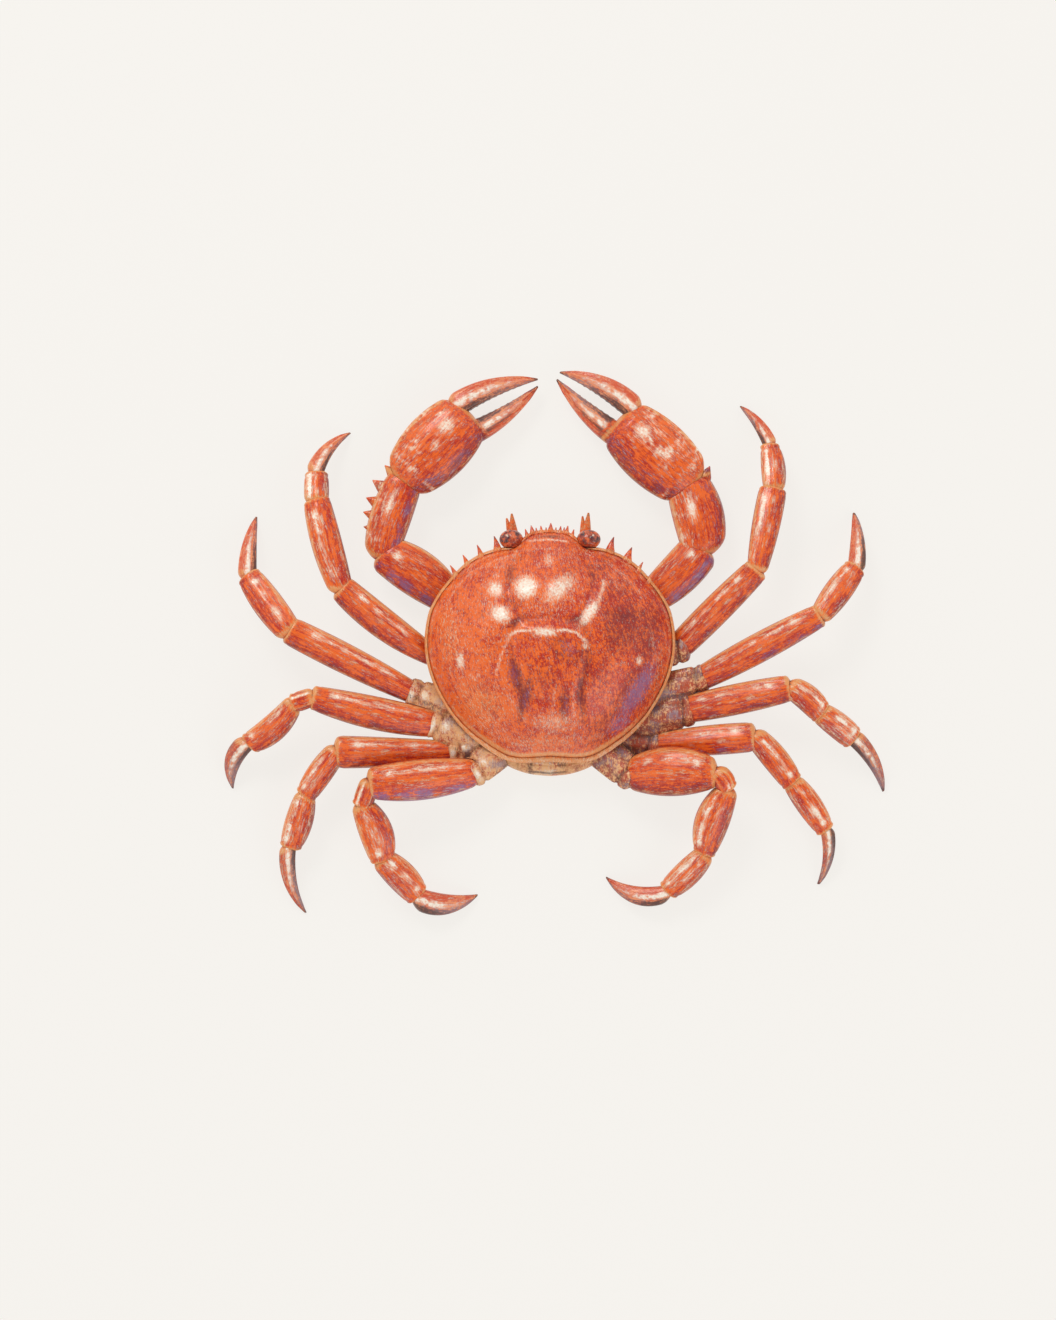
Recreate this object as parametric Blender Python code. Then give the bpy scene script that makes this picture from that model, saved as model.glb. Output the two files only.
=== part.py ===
"""A cooked crab lying on its belly with its claws and walking legs spread.

Metres, +Z up, +Y towards the claws, +X to the right as seen from above. The origin is on the flat of the belly,
under the middle of the back shell. Lengths in the tables below are millimetres and are scaled by MM where used.
"""

import math
from collections import namedtuple

import bmesh
import bpy
from mathutils import Vector

MM = 0.001

# Clearance that keeps touching pieces of shell apart
JOINT_GAP = 0.5

# Back shell
SHELL_SEAM_Z = 17.5
SHELL_RIM_Z = 21.0
SHELL_RIM_TILT = 2.5
SHELL_TOP_Z = 49.0
SHELL_SIDES = 48
SHELL_UNDER_RINGS = ((0.0, 0.0), (0.5, 0.0), (0.9, 0.0), (0.975, 0.45))
SHELL_DOME_RINGS = (1.0, 0.985, 0.945, 0.88, 0.79, 0.68, 0.55, 0.41, 0.27, 0.13, 0.0)
# Half outline seen from above: angle from +X in degrees, distance from the middle of the shell
SHELL_OUTLINE = (
    (-90, 57.6), (-80, 58.4), (-71, 59.4), (-55, 58.8), (-36, 59.2), (-25, 59.8), (-16, 60.9), (-7, 62.0),
    (0, 62.8), (10, 63.4), (18, 63.8), (27, 62.8), (35, 61.6), (45, 61.0), (54, 59.6), (63, 57.4),
    (70, 55.2), (76, 57.6), (81, 60.2), (90, 60.4),
)
# Broad swellings of the back shell: x, y, reach across, reach along, height
SHELL_SWELLINGS = (
    (11, 31, 10, 9, 2.0),
    (0, 18, 9, 9, 1.4),
    (0, -14, 15, 16, 1.8),
    (34, 4, 16, 24, 2.2),
)
SHELL_HOLLOWS = (
    (20, 12, 8, 7, 1.8),
    (19, -20, 5, 15, 1.3),
)

# Spines round the front of the back shell: tip x, tip y, base radius, length
FRONT_TEETH = ((-9.5, 62.4), (-4.6, 62.2), (0.4, 63.6), (5.4, 62.0), (9.0, 62.2))
FRONT_TOOTH_RADIUS = 2.0
FRONT_TOOTH_LENGTH = 5.5
SIDE_SPINES = (
    (-28.0, 57.0), (-36.5, 52.6), (-43.6, 47.6), (-50.0, 42.4),
    (32.0, 56.6), (41.0, 51.4), (46.5, 44.0), (52.0, 38.2),
)
SIDE_SPINE_RADIUS = 2.3
SIDE_SPINE_LENGTH = 9.5
SPINE_POINT_RADIUS = 0.25

# Body below the back shell: share of the shell's outline and height of each ring
BELLY_RINGS = (
    (0.0, 0.0), (0.52, 0.0), (0.66, 0.0), (0.77, 2.2), (0.85, 7.5), (0.87, 13.5), (0.85, 17.1), (0.0, 17.1),
)
BELLY_SIDES = 28

# Tail flap folded under the body: its line in the plane x = 0, and its half width along that line
TAIL_LINE = (
    (-52.0, 15.2), (-57.5, 14.6), (-61.3, 11.8), (-61.8, 7.6), (-58.0, 3.4), (-50.0, 2.0), (-36.0, 2.0),
    (-22.0, 2.0), (-10.0, 2.0),
)
TAIL_HALF_WIDTHS = (19.0, 21.5, 22.3, 22.0, 20.5, 18.0, 13.5, 9.5, 5.0)
TAIL_THICKNESS = 3.0
TAIL_STEPS = 18

# Eyes, feelers and mouth plates, for the left side; the right side mirrors them unless stated
EYE_CENTRE = (19.4, 55.4, 21.5)
EYE_RADII = (6.0, 4.9, 4.9)
FEELER_ROOT = (17.5, 50.0, 12.5)
FEELER_TIPS = {"left": ((-19.2, 68.6, 16.0), (-21.8, 66.4, 14.0)), "right": ((19.4, 69.0, 16.0), (16.4, 67.4, 14.0))}
FEELER_WIDTHS = ((6.5, 4.6, 0.9), (5.5, 4.0, 0.8))
MOUTH_CENTRE = (6.9, 46.6, 7.6)
MOUTH_RADII = (6.3, 4.4, 6.6)
FACE_STEPS = (10, 7)
FEELER_STEPS = (8, 6)

# Limbs. Each piece runs from the end of the one before it to its own end point. Its widths, seen from above, are
# at its start, middle and end, and bow is how far its middle lies to the left of a straight line, looking outwards.
Piece = namedtuple("Piece", "name end widths bow")
Limb = namedtuple("Limb", "name root hip pieces")

LEG_FLATNESS = 0.66
TIP_FLATNESS = 0.80
ROOT_FLATNESS = 0.72
CLAW_FLATNESS = 0.62
START_INSET = 0.30
END_REACH = 0.10
# Length of the rounded caps at the tucked-in start and at the blunt end of a piece, in half widths
START_CAP = 0.9
END_CAP = 0.5

LEGS = (
    Limb("leg_left_1", (-46.0, -5.0, 10.0), (-58.0, -3.5, 9.5), (
        Piece("thigh", (-104.5, 31.5, 26.0), (9.0, 15.5, 13.5), 2.0),
        Piece("shin", (-117.0, 75.5, 20.0), (11.5, 15.5, 13.0), 1.0),
        Piece("foot", (-117.3, 89.0, 15.0), (11.5, 12.6, 11.0), 0.0),
        Piece("tip", (-101.0, 110.0, 1.0), (10.0, 6.8, 0.9), 3.2),
    )),
    Limb("leg_left_2", (-48.0, -28.0, 9.5), (-69.0, -21.5, 11.5), (
        Piece("thigh", (-130.5, 10.0, 28.0), (10.5, 15.0, 14.0), 0.0),
        Piece("shin", (-151.5, 37.5, 17.0), (12.0, 15.5, 11.5), 0.5),
        Piece("tip", (-148.5, 67.5, 1.0), (9.5, 7.6, 0.9), 1.4),
    )),
    Limb("leg_left_3", (-37.5, -45.0, 9.0), (-58.0, -37.0, 11.0), (
        Piece("thigh", (-119.0, -23.5, 26.0), (12.5, 16.8, 11.5), 1.2),
        Piece("knee", (-129.0, -27.0, 24.0), (8.8, 10.0, 9.5), 0.0),
        Piece("shin", (-151.5, -47.0, 14.0), (9.0, 13.8, 11.0), 2.6),
        Piece("tip", (-160.5, -70.0, 1.0), (10.0, 8.6, 0.9), -4.4),
    )),
    Limb("leg_left_4", (-32.0, -48.0, 9.0), (-49.0, -50.5, 9.5), (
        Piece("thigh", (-107.0, -51.0, 21.5), (9.0, 14.5, 16.5), 0.5),
        Piece("shin", (-123.0, -73.5, 16.5), (10.0, 13.0, 10.0), -0.6),
        Piece("foot", (-131.0, -99.5, 11.0), (9.0, 14.0, 9.8), 0.7),
        Piece("tip", (-123.5, -133.0, 1.0), (8.8, 6.8, 0.9), -3.8),
    )),
    Limb("leg_left_5", (-25.0, -50.0, 9.0), (-38.0, -61.5, 16.0), (
        Piece("thigh", (-90.0, -66.5, 30.0), (12.0, 20.5, 15.0), 0.8),
        Piece("knee", (-94.0, -78.0, 26.0), (9.5, 10.5, 10.0), 0.0),
        Piece("shin", (-84.0, -105.5, 17.0), (9.5, 17.0, 11.5), 2.0),
        Piece("foot", (-66.5, -124.0, 9.0), (10.5, 15.5, 11.5), 1.0),
        Piece("tip", (-36.5, -124.0, 1.2), (11.5, 10.6, 0.9), -4.4),
    )),
    Limb("leg_right_1", (48.0, -2.5, 9.5), (66.0, 2.5, 10.5), (
        Piece("thigh", (103.5, 40.5, 27.0), (13.5, 15.0, 12.5), 0.0),
        Piece("shin", (112.0, 81.0, 19.0), (9.5, 14.0, 13.8), 0.0),
        Piece("foot", (110.5, 103.5, 11.0), (9.5, 12.4, 8.2), -1.0),
        Piece("tip", (96.5, 123.5, 1.0), (7.6, 5.6, 0.8), -1.8),
    )),
    Limb("leg_right_2", (50.0, -22.0, 9.5), (76.0, -14.5, 11.5), (
        Piece("thigh", (135.0, 17.5, 28.0), (11.5, 15.0, 11.5), 0.0),
        Piece("shin", (153.5, 41.5, 17.0), (9.5, 14.0, 10.5), 0.0),
        Piece("tip", (154.0, 69.5, 1.0), (9.0, 7.2, 1.2), -1.3),
    )),
    Limb("leg_right_3", (45.0, -36.0, 9.0), (69.0, -30.0, 11.0), (
        Piece("thigh", (120.0, -19.0, 26.0), (13.0, 15.6, 13.0), 0.0),
        Piece("shin", (136.0, -32.0, 21.5), (10.0, 13.4, 11.5), 1.6),
        Piece("foot", (152.5, -44.5, 14.0), (10.5, 13.2, 12.0), 0.5),
        Piece("tip", (169.0, -71.5, 1.0), (9.4, 7.0, 1.2), 3.0),
    )),
    Limb("leg_right_4", (35.0, -45.0, 9.0), (53.0, -47.5, 9.5), (
        Piece("thigh", (102.5, -43.5, 21.5), (9.5, 15.0, 14.5), 0.0),
        Piece("shin", (122.0, -67.0, 17.0), (10.0, 13.4, 10.5), 1.0),
        Piece("foot", (139.0, -91.0, 11.5), (9.5, 13.0, 8.6), 0.6),
        Piece("tip", (136.0, -118.5, 1.0), (7.8, 5.4, 1.4), 2.9),
    )),
    Limb("leg_right_5", (25.0, -50.0, 9.0), (41.0, -62.5, 16.0), (
        Piece("thigh", (82.5, -61.5, 29.0), (13.0, 25.0, 13.5), 1.3),
        Piece("knee", (88.5, -70.5, 26.5), (9.5, 11.0, 10.5), 1.5),
        Piece("shin", (77.5, -102.5, 17.0), (9.5, 17.5, 9.5), -2.0),
        Piece("foot", (59.0, -121.5, 9.0), (9.0, 13.6, 9.8), 0.8),
        Piece("tip", (28.5, -115.0, 1.2), (9.4, 9.2, 0.8), 5.4),
    )),
)

CLAWS = (
    Limb("claw_left", (-40.0, 20.0, 8.8), (-53.0, 27.5, 8.8), (
        Piece("arm", (-84.5, 49.0, 12.0), (16.0, 24.0, 17.5), -1.5),
        Piece("wrist", (-72.0, 87.0, 13.0), (15.5, 21.0, 17.0), 1.5),
        Piece("palm", (-42.0, 118.0, 12.5), (20.0, 34.5, 25.0), 0.0),
        Piece("finger", (-6.0, 136.5, 10.0), (12.5, 9.8, 0.9), 3.4),
    )),
    Limb("claw_right", (40.0, 20.0, 8.8), (52.0, 27.5, 8.8), (
        Piece("arm", (76.5, 52.0, 12.5), (15.5, 21.5, 20.0), -1.5),
        Piece("wrist", (68.5, 85.0, 13.0), (19.0, 26.0, 20.5), -2.0),
        Piece("palm", (36.0, 114.5, 12.5), (23.0, 35.0, 25.0), 0.0),
        Piece("finger", (5.0, 140.0, 10.0), (12.5, 10.4, 0.9), -3.8),
    )),
)
# Where the moving finger leaves the palm, and the fixed finger that is one piece with the palm
FINGER_ROOTS = {"claw_left": (-47.5, 122.0, 13.0), "claw_right": (42.0, 120.5, 13.0)}
FIXED_FINGERS = {
    "claw_left": ((-44.0, 108.5, 11.5), (-6.0, 132.5, 8.5), (15.5, 10.2, 1.0), -2.6),
    "claw_right": ((37.5, 107.0, 11.5), (3.5, 136.5, 8.5), (16.0, 10.6, 1.0), 1.7),
}
# Spines on the wrists: foot and tip, seen from above
WRIST_SPINES = {
    "claw_left": (
        ((-76.5, 86.5), (-83.0, 92.8)), ((-82.0, 80.5), (-89.2, 85.4)), ((-85.5, 73.5), (-92.4, 76.6)),
        ((-86.5, 67.0), (-93.8, 69.4)), ((-86.8, 60.5), (-93.6, 62.0)), ((-86.0, 54.5), (-91.6, 55.2)),
    ),
    "claw_right": (((77.5, 86.0), (80.4, 92.4)), ((72.5, 89.5), (75.0, 95.6))),
}
WRIST_SPINE_RADIUS = 3.0

# Sides round and rings along each kind of limb piece
MESH_STEPS = {
    "thigh": (10, 8), "knee": (8, 5), "shin": (8, 8), "foot": (8, 7), "tip": (7, 8),
    "arm": (12, 8), "wrist": (12, 8), "palm": (14, 10), "finger": (10, 9), "root": (8, 5),
}

Finish = namedtuple("Finish", "colour roughness")
FINISHES = {
    "shell_red": Finish((0.78, 0.13, 0.035), 0.35),
    "shell_cream": Finish((0.83, 0.52, 0.26), 0.45),
    "shell_dusky": Finish((0.42, 0.14, 0.10), 0.4),
    "eye_black": Finish((0.02, 0.015, 0.02), 0.15),
}


def clear_scene():
    for obj in list(bpy.data.objects):
        bpy.data.objects.remove(obj)


def new_collection(name, shown):
    collection = bpy.data.collections.new(name)
    collection.hide_render = not shown
    bpy.context.scene.collection.children.link(collection)
    return collection


def make_material(name, finish):
    material = bpy.data.materials.new(name)
    material.use_nodes = True
    shader = material.node_tree.nodes["Principled BSDF"]
    shader.inputs["Base Color"].default_value = (*finish.colour, 1.0)
    shader.inputs["Roughness"].default_value = finish.roughness
    shader.inputs["Metallic"].default_value = 0.0
    return material


def object_from(name, bm, finish, collection):
    """Makes a named object of this mesh, whose points are still in millimetres."""
    bmesh.ops.scale(bm, vec=(MM, MM, MM), verts=bm.verts)
    bmesh.ops.recalc_face_normals(bm, faces=bm.faces)
    mesh = bpy.data.meshes.new(name)
    bm.to_mesh(mesh)
    bm.free()
    mesh.shade_smooth()
    mesh.set_sharp_from_angle(angle=math.radians(50))
    mesh.materials.append(bpy.data.materials[finish])
    obj = bpy.data.objects.new(name, mesh)
    collection.objects.link(obj)
    return obj


def between(table, at):
    """Reads a table of (position, value) pairs, on straight lines from one pair to the next."""
    for (low, first), (high, second) in zip(table, table[1:]):
        if at <= high:
            share = max(0.0, (at - low) / (high - low))
            return first + (second - first) * share
    return table[-1][1]


def along_line(points, share):
    """A point at this share of the way along a Catmull-Rom curve through the points."""
    spans = len(points) - 1
    place = min(max(share, 0.0), 1.0) * spans
    span = min(int(place), spans - 1)
    u = place - span
    before = points[max(span - 1, 0)]
    first, second = points[span], points[span + 1]
    after = points[min(span + 2, spans)]
    return 0.5 * (
        2 * first + (second - before) * u + (2 * before - 5 * first + 4 * second - after) * u * u
        + (3 * first - before - 3 * second + after) * u * u * u
    )


def ball(sides, rings):
    """A closed ball as a bmesh, with each vertex's ring number from the lower pole and its angle round."""
    bm = bmesh.new()
    bmesh.ops.create_uvsphere(bm, u_segments=sides, v_segments=rings, radius=1.0)
    places = {}
    for vertex in bm.verts:
        latitude = math.asin(max(-1.0, min(1.0, vertex.co.z)))
        ring = round((latitude / math.pi + 0.5) * rings)
        places[vertex] = (ring, math.atan2(vertex.co.y, vertex.co.x))
    return bm, places


def middle_width(widths, share):
    """The smooth width through the start, middle and end widths of a piece."""
    start, middle, end = widths
    return (
        start * (1 - share) * (1 - 2 * share)
        + 4 * middle * share * (1 - share)
        + end * share * (2 * share - 1)
    )


def ring_places(rings, length, start_cap, end_cap):
    """How far along a piece each ring lies: one ring within each rounded cap, the rest spread between the caps."""
    body = rings - 4
    between_caps = [start_cap + (length - start_cap - end_cap) * step / body for step in range(body + 1)]
    return [0.0, 0.3 * start_cap, *between_caps, length - 0.3 * end_cap, length]


def cap_share(distance, cap):
    """How much of its full width a piece has at this distance from its end."""
    return math.sqrt(max(0.0, 1.0 - (1.0 - min(distance, cap) / cap) ** 2))


def limb_mesh(start, end, widths, bow, flatness, steps, grow=0.0):
    """A closed, round-ended limb piece about a bowed line from start to end, its points in millimetres."""
    sides, rings = steps
    bm, places = ball(sides, rings)
    onward = (end - start).normalized()
    leftward = Vector((-onward.y, onward.x, 0.0)).normalized()
    upward = onward.cross(leftward)
    start = start - onward * grow
    length = (end - start).length + grow
    start_cap = min(START_CAP * (widths[0] / 2 + grow), 0.45 * length)
    end_cap = min(END_CAP * (widths[2] / 2 + grow), 0.45 * length)
    distances = ring_places(rings, length, start_cap, end_cap)
    for vertex, (ring, angle) in places.items():
        distance = distances[ring]
        share = distance / length
        rounding = min(cap_share(distance, start_cap), cap_share(length - distance, end_cap))
        half_width = (0.5 * middle_width(widths, share) + grow) * rounding
        centre = start + onward * distance + leftward * bow * 4 * share * (1 - share)
        vertex.co = (
            centre + leftward * half_width * math.cos(angle) - upward * half_width * flatness * math.sin(angle)
        )
    return bm


def limb_ends(joint_before, piece):
    """The true ends of a piece: tucked into the one before it, and reaching a little past its own joint."""
    start, end = Vector(joint_before), Vector(piece.end)
    onward = (end - start).normalized()
    reach = 0.0 if piece.widths[2] < 2.0 else END_REACH * piece.widths[2]
    return start - onward * START_INSET * piece.widths[0], end + onward * reach


def spine_mesh(foot, tip, radius):
    """A thin cone from foot to tip."""
    bm = bmesh.new()
    along = tip - foot
    bmesh.ops.create_cone(
        bm, cap_ends=True, segments=6, radius1=radius, radius2=SPINE_POINT_RADIUS, depth=along.length
    )
    bmesh.ops.rotate(bm, cent=(0, 0, 0), matrix=along.to_track_quat("Z", "Y").to_matrix(), verts=bm.verts)
    bmesh.ops.translate(bm, vec=(foot + tip) / 2, verts=bm.verts)
    return bm


def join_extras(target, extras):
    """One Boolean union of the target with loose extras, applied, with the extras then removed."""
    helper = new_collection("extras_" + target.name, shown=False)
    for extra in extras:
        for home in list(extra.users_collection):
            home.objects.unlink(extra)
        helper.objects.link(extra)
    union = target.modifiers.new("join", "BOOLEAN")
    union.operation = "UNION"
    union.operand_type = "COLLECTION"
    union.collection = helper
    union.solver = "EXACT"
    bpy.context.view_layer.update()
    graph = bpy.context.evaluated_depsgraph_get()
    joined = bpy.data.meshes.new_from_object(target.evaluated_get(graph))
    target.modifiers.clear()
    target.data = joined
    for extra in extras:
        bpy.data.objects.remove(extra)
    bpy.data.collections.remove(helper)


def cut(target, cutter):
    """Leaves room in the target for a piece that fits into it."""
    cutter.hide_render = True
    cutter.display_type = "WIRE"
    notch = target.modifiers.new("room_for_" + cutter.name, "BOOLEAN")
    notch.operation = "DIFFERENCE"
    notch.object = cutter
    notch.solver = "EXACT"


def shell_radius(x, y):
    """Distance from the middle of the back shell to its edge, in the direction of (x, y)."""
    return between(SHELL_OUTLINE, math.degrees(math.atan2(y, abs(x))))


def swelling(x, y, table):
    total = 0.0
    for centre_x, centre_y, across, along, height in table:
        total += height * math.exp(-(((abs(x) - centre_x) / across) ** 2) - ((y - centre_y) / along) ** 2)
    return total


def shell_point(share, angle, under_height=None):
    """A point of the back shell at this share of the way out, on the dome or, with a height, under the rim."""
    facing = Vector((math.cos(angle), math.sin(angle), 0.0))
    edge = shell_radius(facing.x, facing.y)
    point = facing * edge * share
    rim_z = SHELL_RIM_Z + SHELL_RIM_TILT * facing.y
    if under_height is not None:
        point.z = SHELL_SEAM_Z + under_height * (rim_z - SHELL_SEAM_Z)
        return point
    rise = (1.0 - share**2.5) ** 0.8
    relief = swelling(point.x, point.y, SHELL_SWELLINGS) - swelling(point.x, point.y, SHELL_HOLLOWS)
    point.z = rim_z + (SHELL_TOP_Z - rim_z) * rise + relief * min(1.0, 3 * rise)
    return point


def build_back_shell(parts, cutters):
    rings = len(SHELL_UNDER_RINGS) + len(SHELL_DOME_RINGS) - 1
    bm, places = ball(SHELL_SIDES, rings)
    for vertex, (ring, angle) in places.items():
        if ring < len(SHELL_UNDER_RINGS):
            share, height = SHELL_UNDER_RINGS[ring]
            vertex.co = shell_point(share, angle, height)
        else:
            vertex.co = shell_point(SHELL_DOME_RINGS[ring - len(SHELL_UNDER_RINGS)], angle)
    shell = object_from("back_shell", bm, "shell_red", parts)
    spines = []
    for x, y in FRONT_TEETH:
        tip = Vector((x, y, SHELL_RIM_Z + SHELL_RIM_TILT - 0.5))
        foot = tip + Vector((0.0, -FRONT_TOOTH_LENGTH, 1.0))
        spines.append(object_from(f"front_tooth_{x}", spine_mesh(foot, tip, FRONT_TOOTH_RADIUS), "shell_red", parts))
    for x, y in SIDE_SPINES:
        tip = Vector((x, y, SHELL_RIM_Z + SHELL_RIM_TILT))
        inward = Vector((-0.35 * x, -0.9 * y, 0.0)).normalized()
        foot = tip + inward * SIDE_SPINE_LENGTH
        spines.append(object_from(f"side_spine_{x}", spine_mesh(foot, tip, SIDE_SPINE_RADIUS), "shell_red", parts))
    join_extras(shell, spines)
    return shell


def build_belly(parts, cutters):
    """The body under the back shell, with the twelve limb roots that stand out of it."""
    bm, places = ball(BELLY_SIDES, len(BELLY_RINGS) - 1)
    for vertex, (ring, angle) in places.items():
        share, height = BELLY_RINGS[ring]
        facing = Vector((math.cos(angle), math.sin(angle), 0.0))
        vertex.co = facing * min(58.5, shell_radius(facing.x, facing.y)) * share
        vertex.co.z = height
    belly = object_from("belly", bm, "shell_cream", parts)
    roots = []
    for limb in CLAWS + LEGS:
        start, end = Vector(limb.root), Vector(limb.hip)
        onward = (end - start).normalized()
        width = limb.pieces[0].widths[0] + 3.0
        bm = limb_mesh(
            start - onward * 6.0, end + onward * 0.28 * width, (width * 1.15, width * 1.1, width),
            0.0, ROOT_FLATNESS, MESH_STEPS["root"],
        )
        roots.append(object_from(limb.name + "_root", bm, "shell_cream", parts))
    join_extras(belly, roots)
    return belly


def tail_mesh(grow=0.0):
    """The tail flap, a thick strip that wraps round the back of the body and lies along the belly."""
    steps = TAIL_STEPS
    line = [Vector((0.0, y, z)) for y, z in TAIL_LINE]
    widths = [Vector((w, 0.0, 0.0)) for w in TAIL_HALF_WIDTHS]
    bm = bmesh.new()
    before = None
    for step in range(steps + 1):
        share = step / steps
        centre = along_line(line, share)
        half_width = along_line(widths, share).x + grow
        ahead = along_line(line, min(1.0, share + 0.01)) - along_line(line, max(0.0, share - 0.01))
        onward = ahead.normalized()
        outward = Vector((0.0, -onward.z, onward.y))
        half_thickness = TAIL_THICKNESS / 2 + grow
        if step in (0, steps):
            centre = centre + onward * grow * (-1 if step == 0 else 1)
        corners = (
            Vector((-half_width, 0, 0)) + outward * 0.2, Vector((-half_width * 0.9, 0, 0)) - outward * half_thickness,
            Vector((half_width * 0.9, 0, 0)) - outward * half_thickness, Vector((half_width, 0, 0)) + outward * 0.2,
            Vector((half_width * 0.9, 0, 0)) + outward * half_thickness,
            Vector((-half_width * 0.9, 0, 0)) + outward * half_thickness,
        )
        ring = [bm.verts.new(centre + corner) for corner in corners]
        ring_edges = [bm.edges.new((a, b)) for a, b in zip(ring, ring[1:] + ring[:1])]
        if before is not None:
            bmesh.ops.bridge_loops(bm, edges=before + ring_edges)
        if step in (0, steps):
            bm.faces.new(ring)
        before = ring_edges
    return bm


def ellipsoid_mesh(centre, radii, steps, grow=0.0):
    bm = bmesh.new()
    bmesh.ops.create_uvsphere(bm, u_segments=steps[0], v_segments=steps[1], radius=1.0)
    bmesh.ops.scale(bm, vec=[radius + grow for radius in radii], verts=bm.verts)
    bmesh.ops.translate(bm, vec=centre, verts=bm.verts)
    return bm


def build_face(parts, cutters, shell, belly):
    """Eyes in their notches, two-pronged feelers and the pair of mouth plates."""
    for side, sign in (("left", -1), ("right", 1)):
        eye_at = (sign * EYE_CENTRE[0], EYE_CENTRE[1], EYE_CENTRE[2])
        object_from("eye_" + side, ellipsoid_mesh(eye_at, EYE_RADII, FACE_STEPS), "eye_black", parts)
        room = object_from(
            "room_eye_" + side, ellipsoid_mesh(eye_at, EYE_RADII, FACE_STEPS, JOINT_GAP), "shell_red", cutters
        )
        cut(shell, room)
        mouth_at = (sign * MOUTH_CENTRE[0], MOUTH_CENTRE[1], MOUTH_CENTRE[2])
        object_from("mouth_plate_" + side, ellipsoid_mesh(mouth_at, MOUTH_RADII, FACE_STEPS), "shell_cream", parts)
        room = object_from(
            "room_mouth_" + side, ellipsoid_mesh(mouth_at, MOUTH_RADII, FACE_STEPS, JOINT_GAP), "shell_cream", cutters
        )
        cut(belly, room)
        root = Vector((sign * FEELER_ROOT[0], FEELER_ROOT[1], FEELER_ROOT[2]))
        prongs = []
        for number, (tip, widths) in enumerate(zip(FEELER_TIPS[side], FEELER_WIDTHS)):
            bm = limb_mesh(root, Vector(tip), widths, 0.0, TIP_FLATNESS, FEELER_STEPS)
            prongs.append(object_from(f"feeler_{side}_{number}", bm, "shell_red", parts))
            bm = limb_mesh(root, Vector(tip), widths, 0.0, TIP_FLATNESS, FEELER_STEPS, JOINT_GAP)
            cut(belly, object_from(f"room_feeler_{side}_{number}", bm, "shell_red", cutters))
        prongs[0].name = "feeler_" + side
        join_extras(prongs[0], prongs[1:])


def flatness_of(limb, piece):
    if limb in CLAWS:
        return CLAW_FLATNESS if piece.name != "finger" else TIP_FLATNESS
    return TIP_FLATNESS if piece.name == "tip" else LEG_FLATNESS


def build_limb(limb, parts, cutters, belly):
    """A chain of pieces, each socketed to take the next one."""
    holder = belly
    joint = limb.hip
    for piece in limb.pieces:
        if piece.name == "finger":
            joint = FINGER_ROOTS[limb.name]
        start, end = limb_ends(joint, piece)
        flatness = flatness_of(limb, piece)
        finish = "shell_dusky" if piece.name in ("tip", "finger") else "shell_red"
        shape = (start, end, piece.widths, piece.bow, flatness, MESH_STEPS[piece.name])
        node = object_from(f"{limb.name}_{piece.name}", limb_mesh(*shape), finish, parts)
        room = object_from(f"room_{limb.name}_{piece.name}", limb_mesh(*shape, JOINT_GAP), finish, cutters)
        if piece.name == "wrist":
            spines = []
            for number, (foot, tip) in enumerate(WRIST_SPINES[limb.name]):
                foot, tip = Vector((*foot, 15.0)), Vector((*tip, 16.0))
                spines.append(
                    object_from(f"wrist_spine_{number}", spine_mesh(foot, tip, WRIST_SPINE_RADIUS), finish, parts)
                )
            join_extras(node, spines)
        if piece.name == "palm":
            foot, tip, widths, bow = FIXED_FINGERS[limb.name]
            bm = limb_mesh(Vector(foot), Vector(tip), widths, bow, TIP_FLATNESS, MESH_STEPS["finger"])
            join_extras(node, [object_from(limb.name + "_fixed_finger", bm, finish, parts)])
        cut(holder, room)
        holder = node
        joint = piece.end


def main():
    clear_scene()
    parts = new_collection("cooked_crab", shown=True)
    cutters = new_collection("rooms", shown=False)
    for name, finish in FINISHES.items():
        make_material(name, finish)
    shell = build_back_shell(parts, cutters)
    belly = build_belly(parts, cutters)
    object_from("tail_flap", tail_mesh(), "shell_cream", parts)
    cut(belly, object_from("room_tail_flap", tail_mesh(JOINT_GAP), "shell_cream", cutters))
    build_face(parts, cutters, shell, belly)
    for limb in CLAWS + LEGS:
        build_limb(limb, parts, cutters, belly)


main()
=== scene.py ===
"""A cooked crab lying on its belly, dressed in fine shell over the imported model.

Run as a script, it builds every piece of shell, the stage, the lights and the camera. Lengths in the tables
are millimetres, with +Y towards the claws, +X to the right as seen from above and +Z up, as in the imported
model.
"""

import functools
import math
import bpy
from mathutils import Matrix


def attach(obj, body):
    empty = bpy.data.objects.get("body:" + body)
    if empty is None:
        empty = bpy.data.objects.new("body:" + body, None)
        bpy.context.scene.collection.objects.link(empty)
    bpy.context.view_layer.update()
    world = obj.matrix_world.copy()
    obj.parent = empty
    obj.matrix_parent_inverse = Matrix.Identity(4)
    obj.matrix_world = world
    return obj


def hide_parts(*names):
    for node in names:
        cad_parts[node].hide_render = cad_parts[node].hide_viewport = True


bl_info = {
    "name": "Cooked Crab",
    "version": (1, 0, 0),
    "blender": (4, 5, 0),
    "location": "3D View > Sidebar > Crab",
    "description": "Builds a cooked crab piece by piece, with its shell finishes and a studio stage",
    "category": "Object",
}

from collections import namedtuple

import bmesh
import bpy
import numpy as np
from bpy.props import FloatProperty, FloatVectorProperty, PointerProperty
from mathutils import Vector, noise

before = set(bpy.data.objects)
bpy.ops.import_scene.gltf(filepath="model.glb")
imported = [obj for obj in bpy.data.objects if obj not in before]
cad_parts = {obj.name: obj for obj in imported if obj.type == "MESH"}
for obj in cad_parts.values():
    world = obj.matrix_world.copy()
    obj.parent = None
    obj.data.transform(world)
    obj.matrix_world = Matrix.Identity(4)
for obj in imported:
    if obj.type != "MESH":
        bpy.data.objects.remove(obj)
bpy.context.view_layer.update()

MM = 0.001

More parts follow.
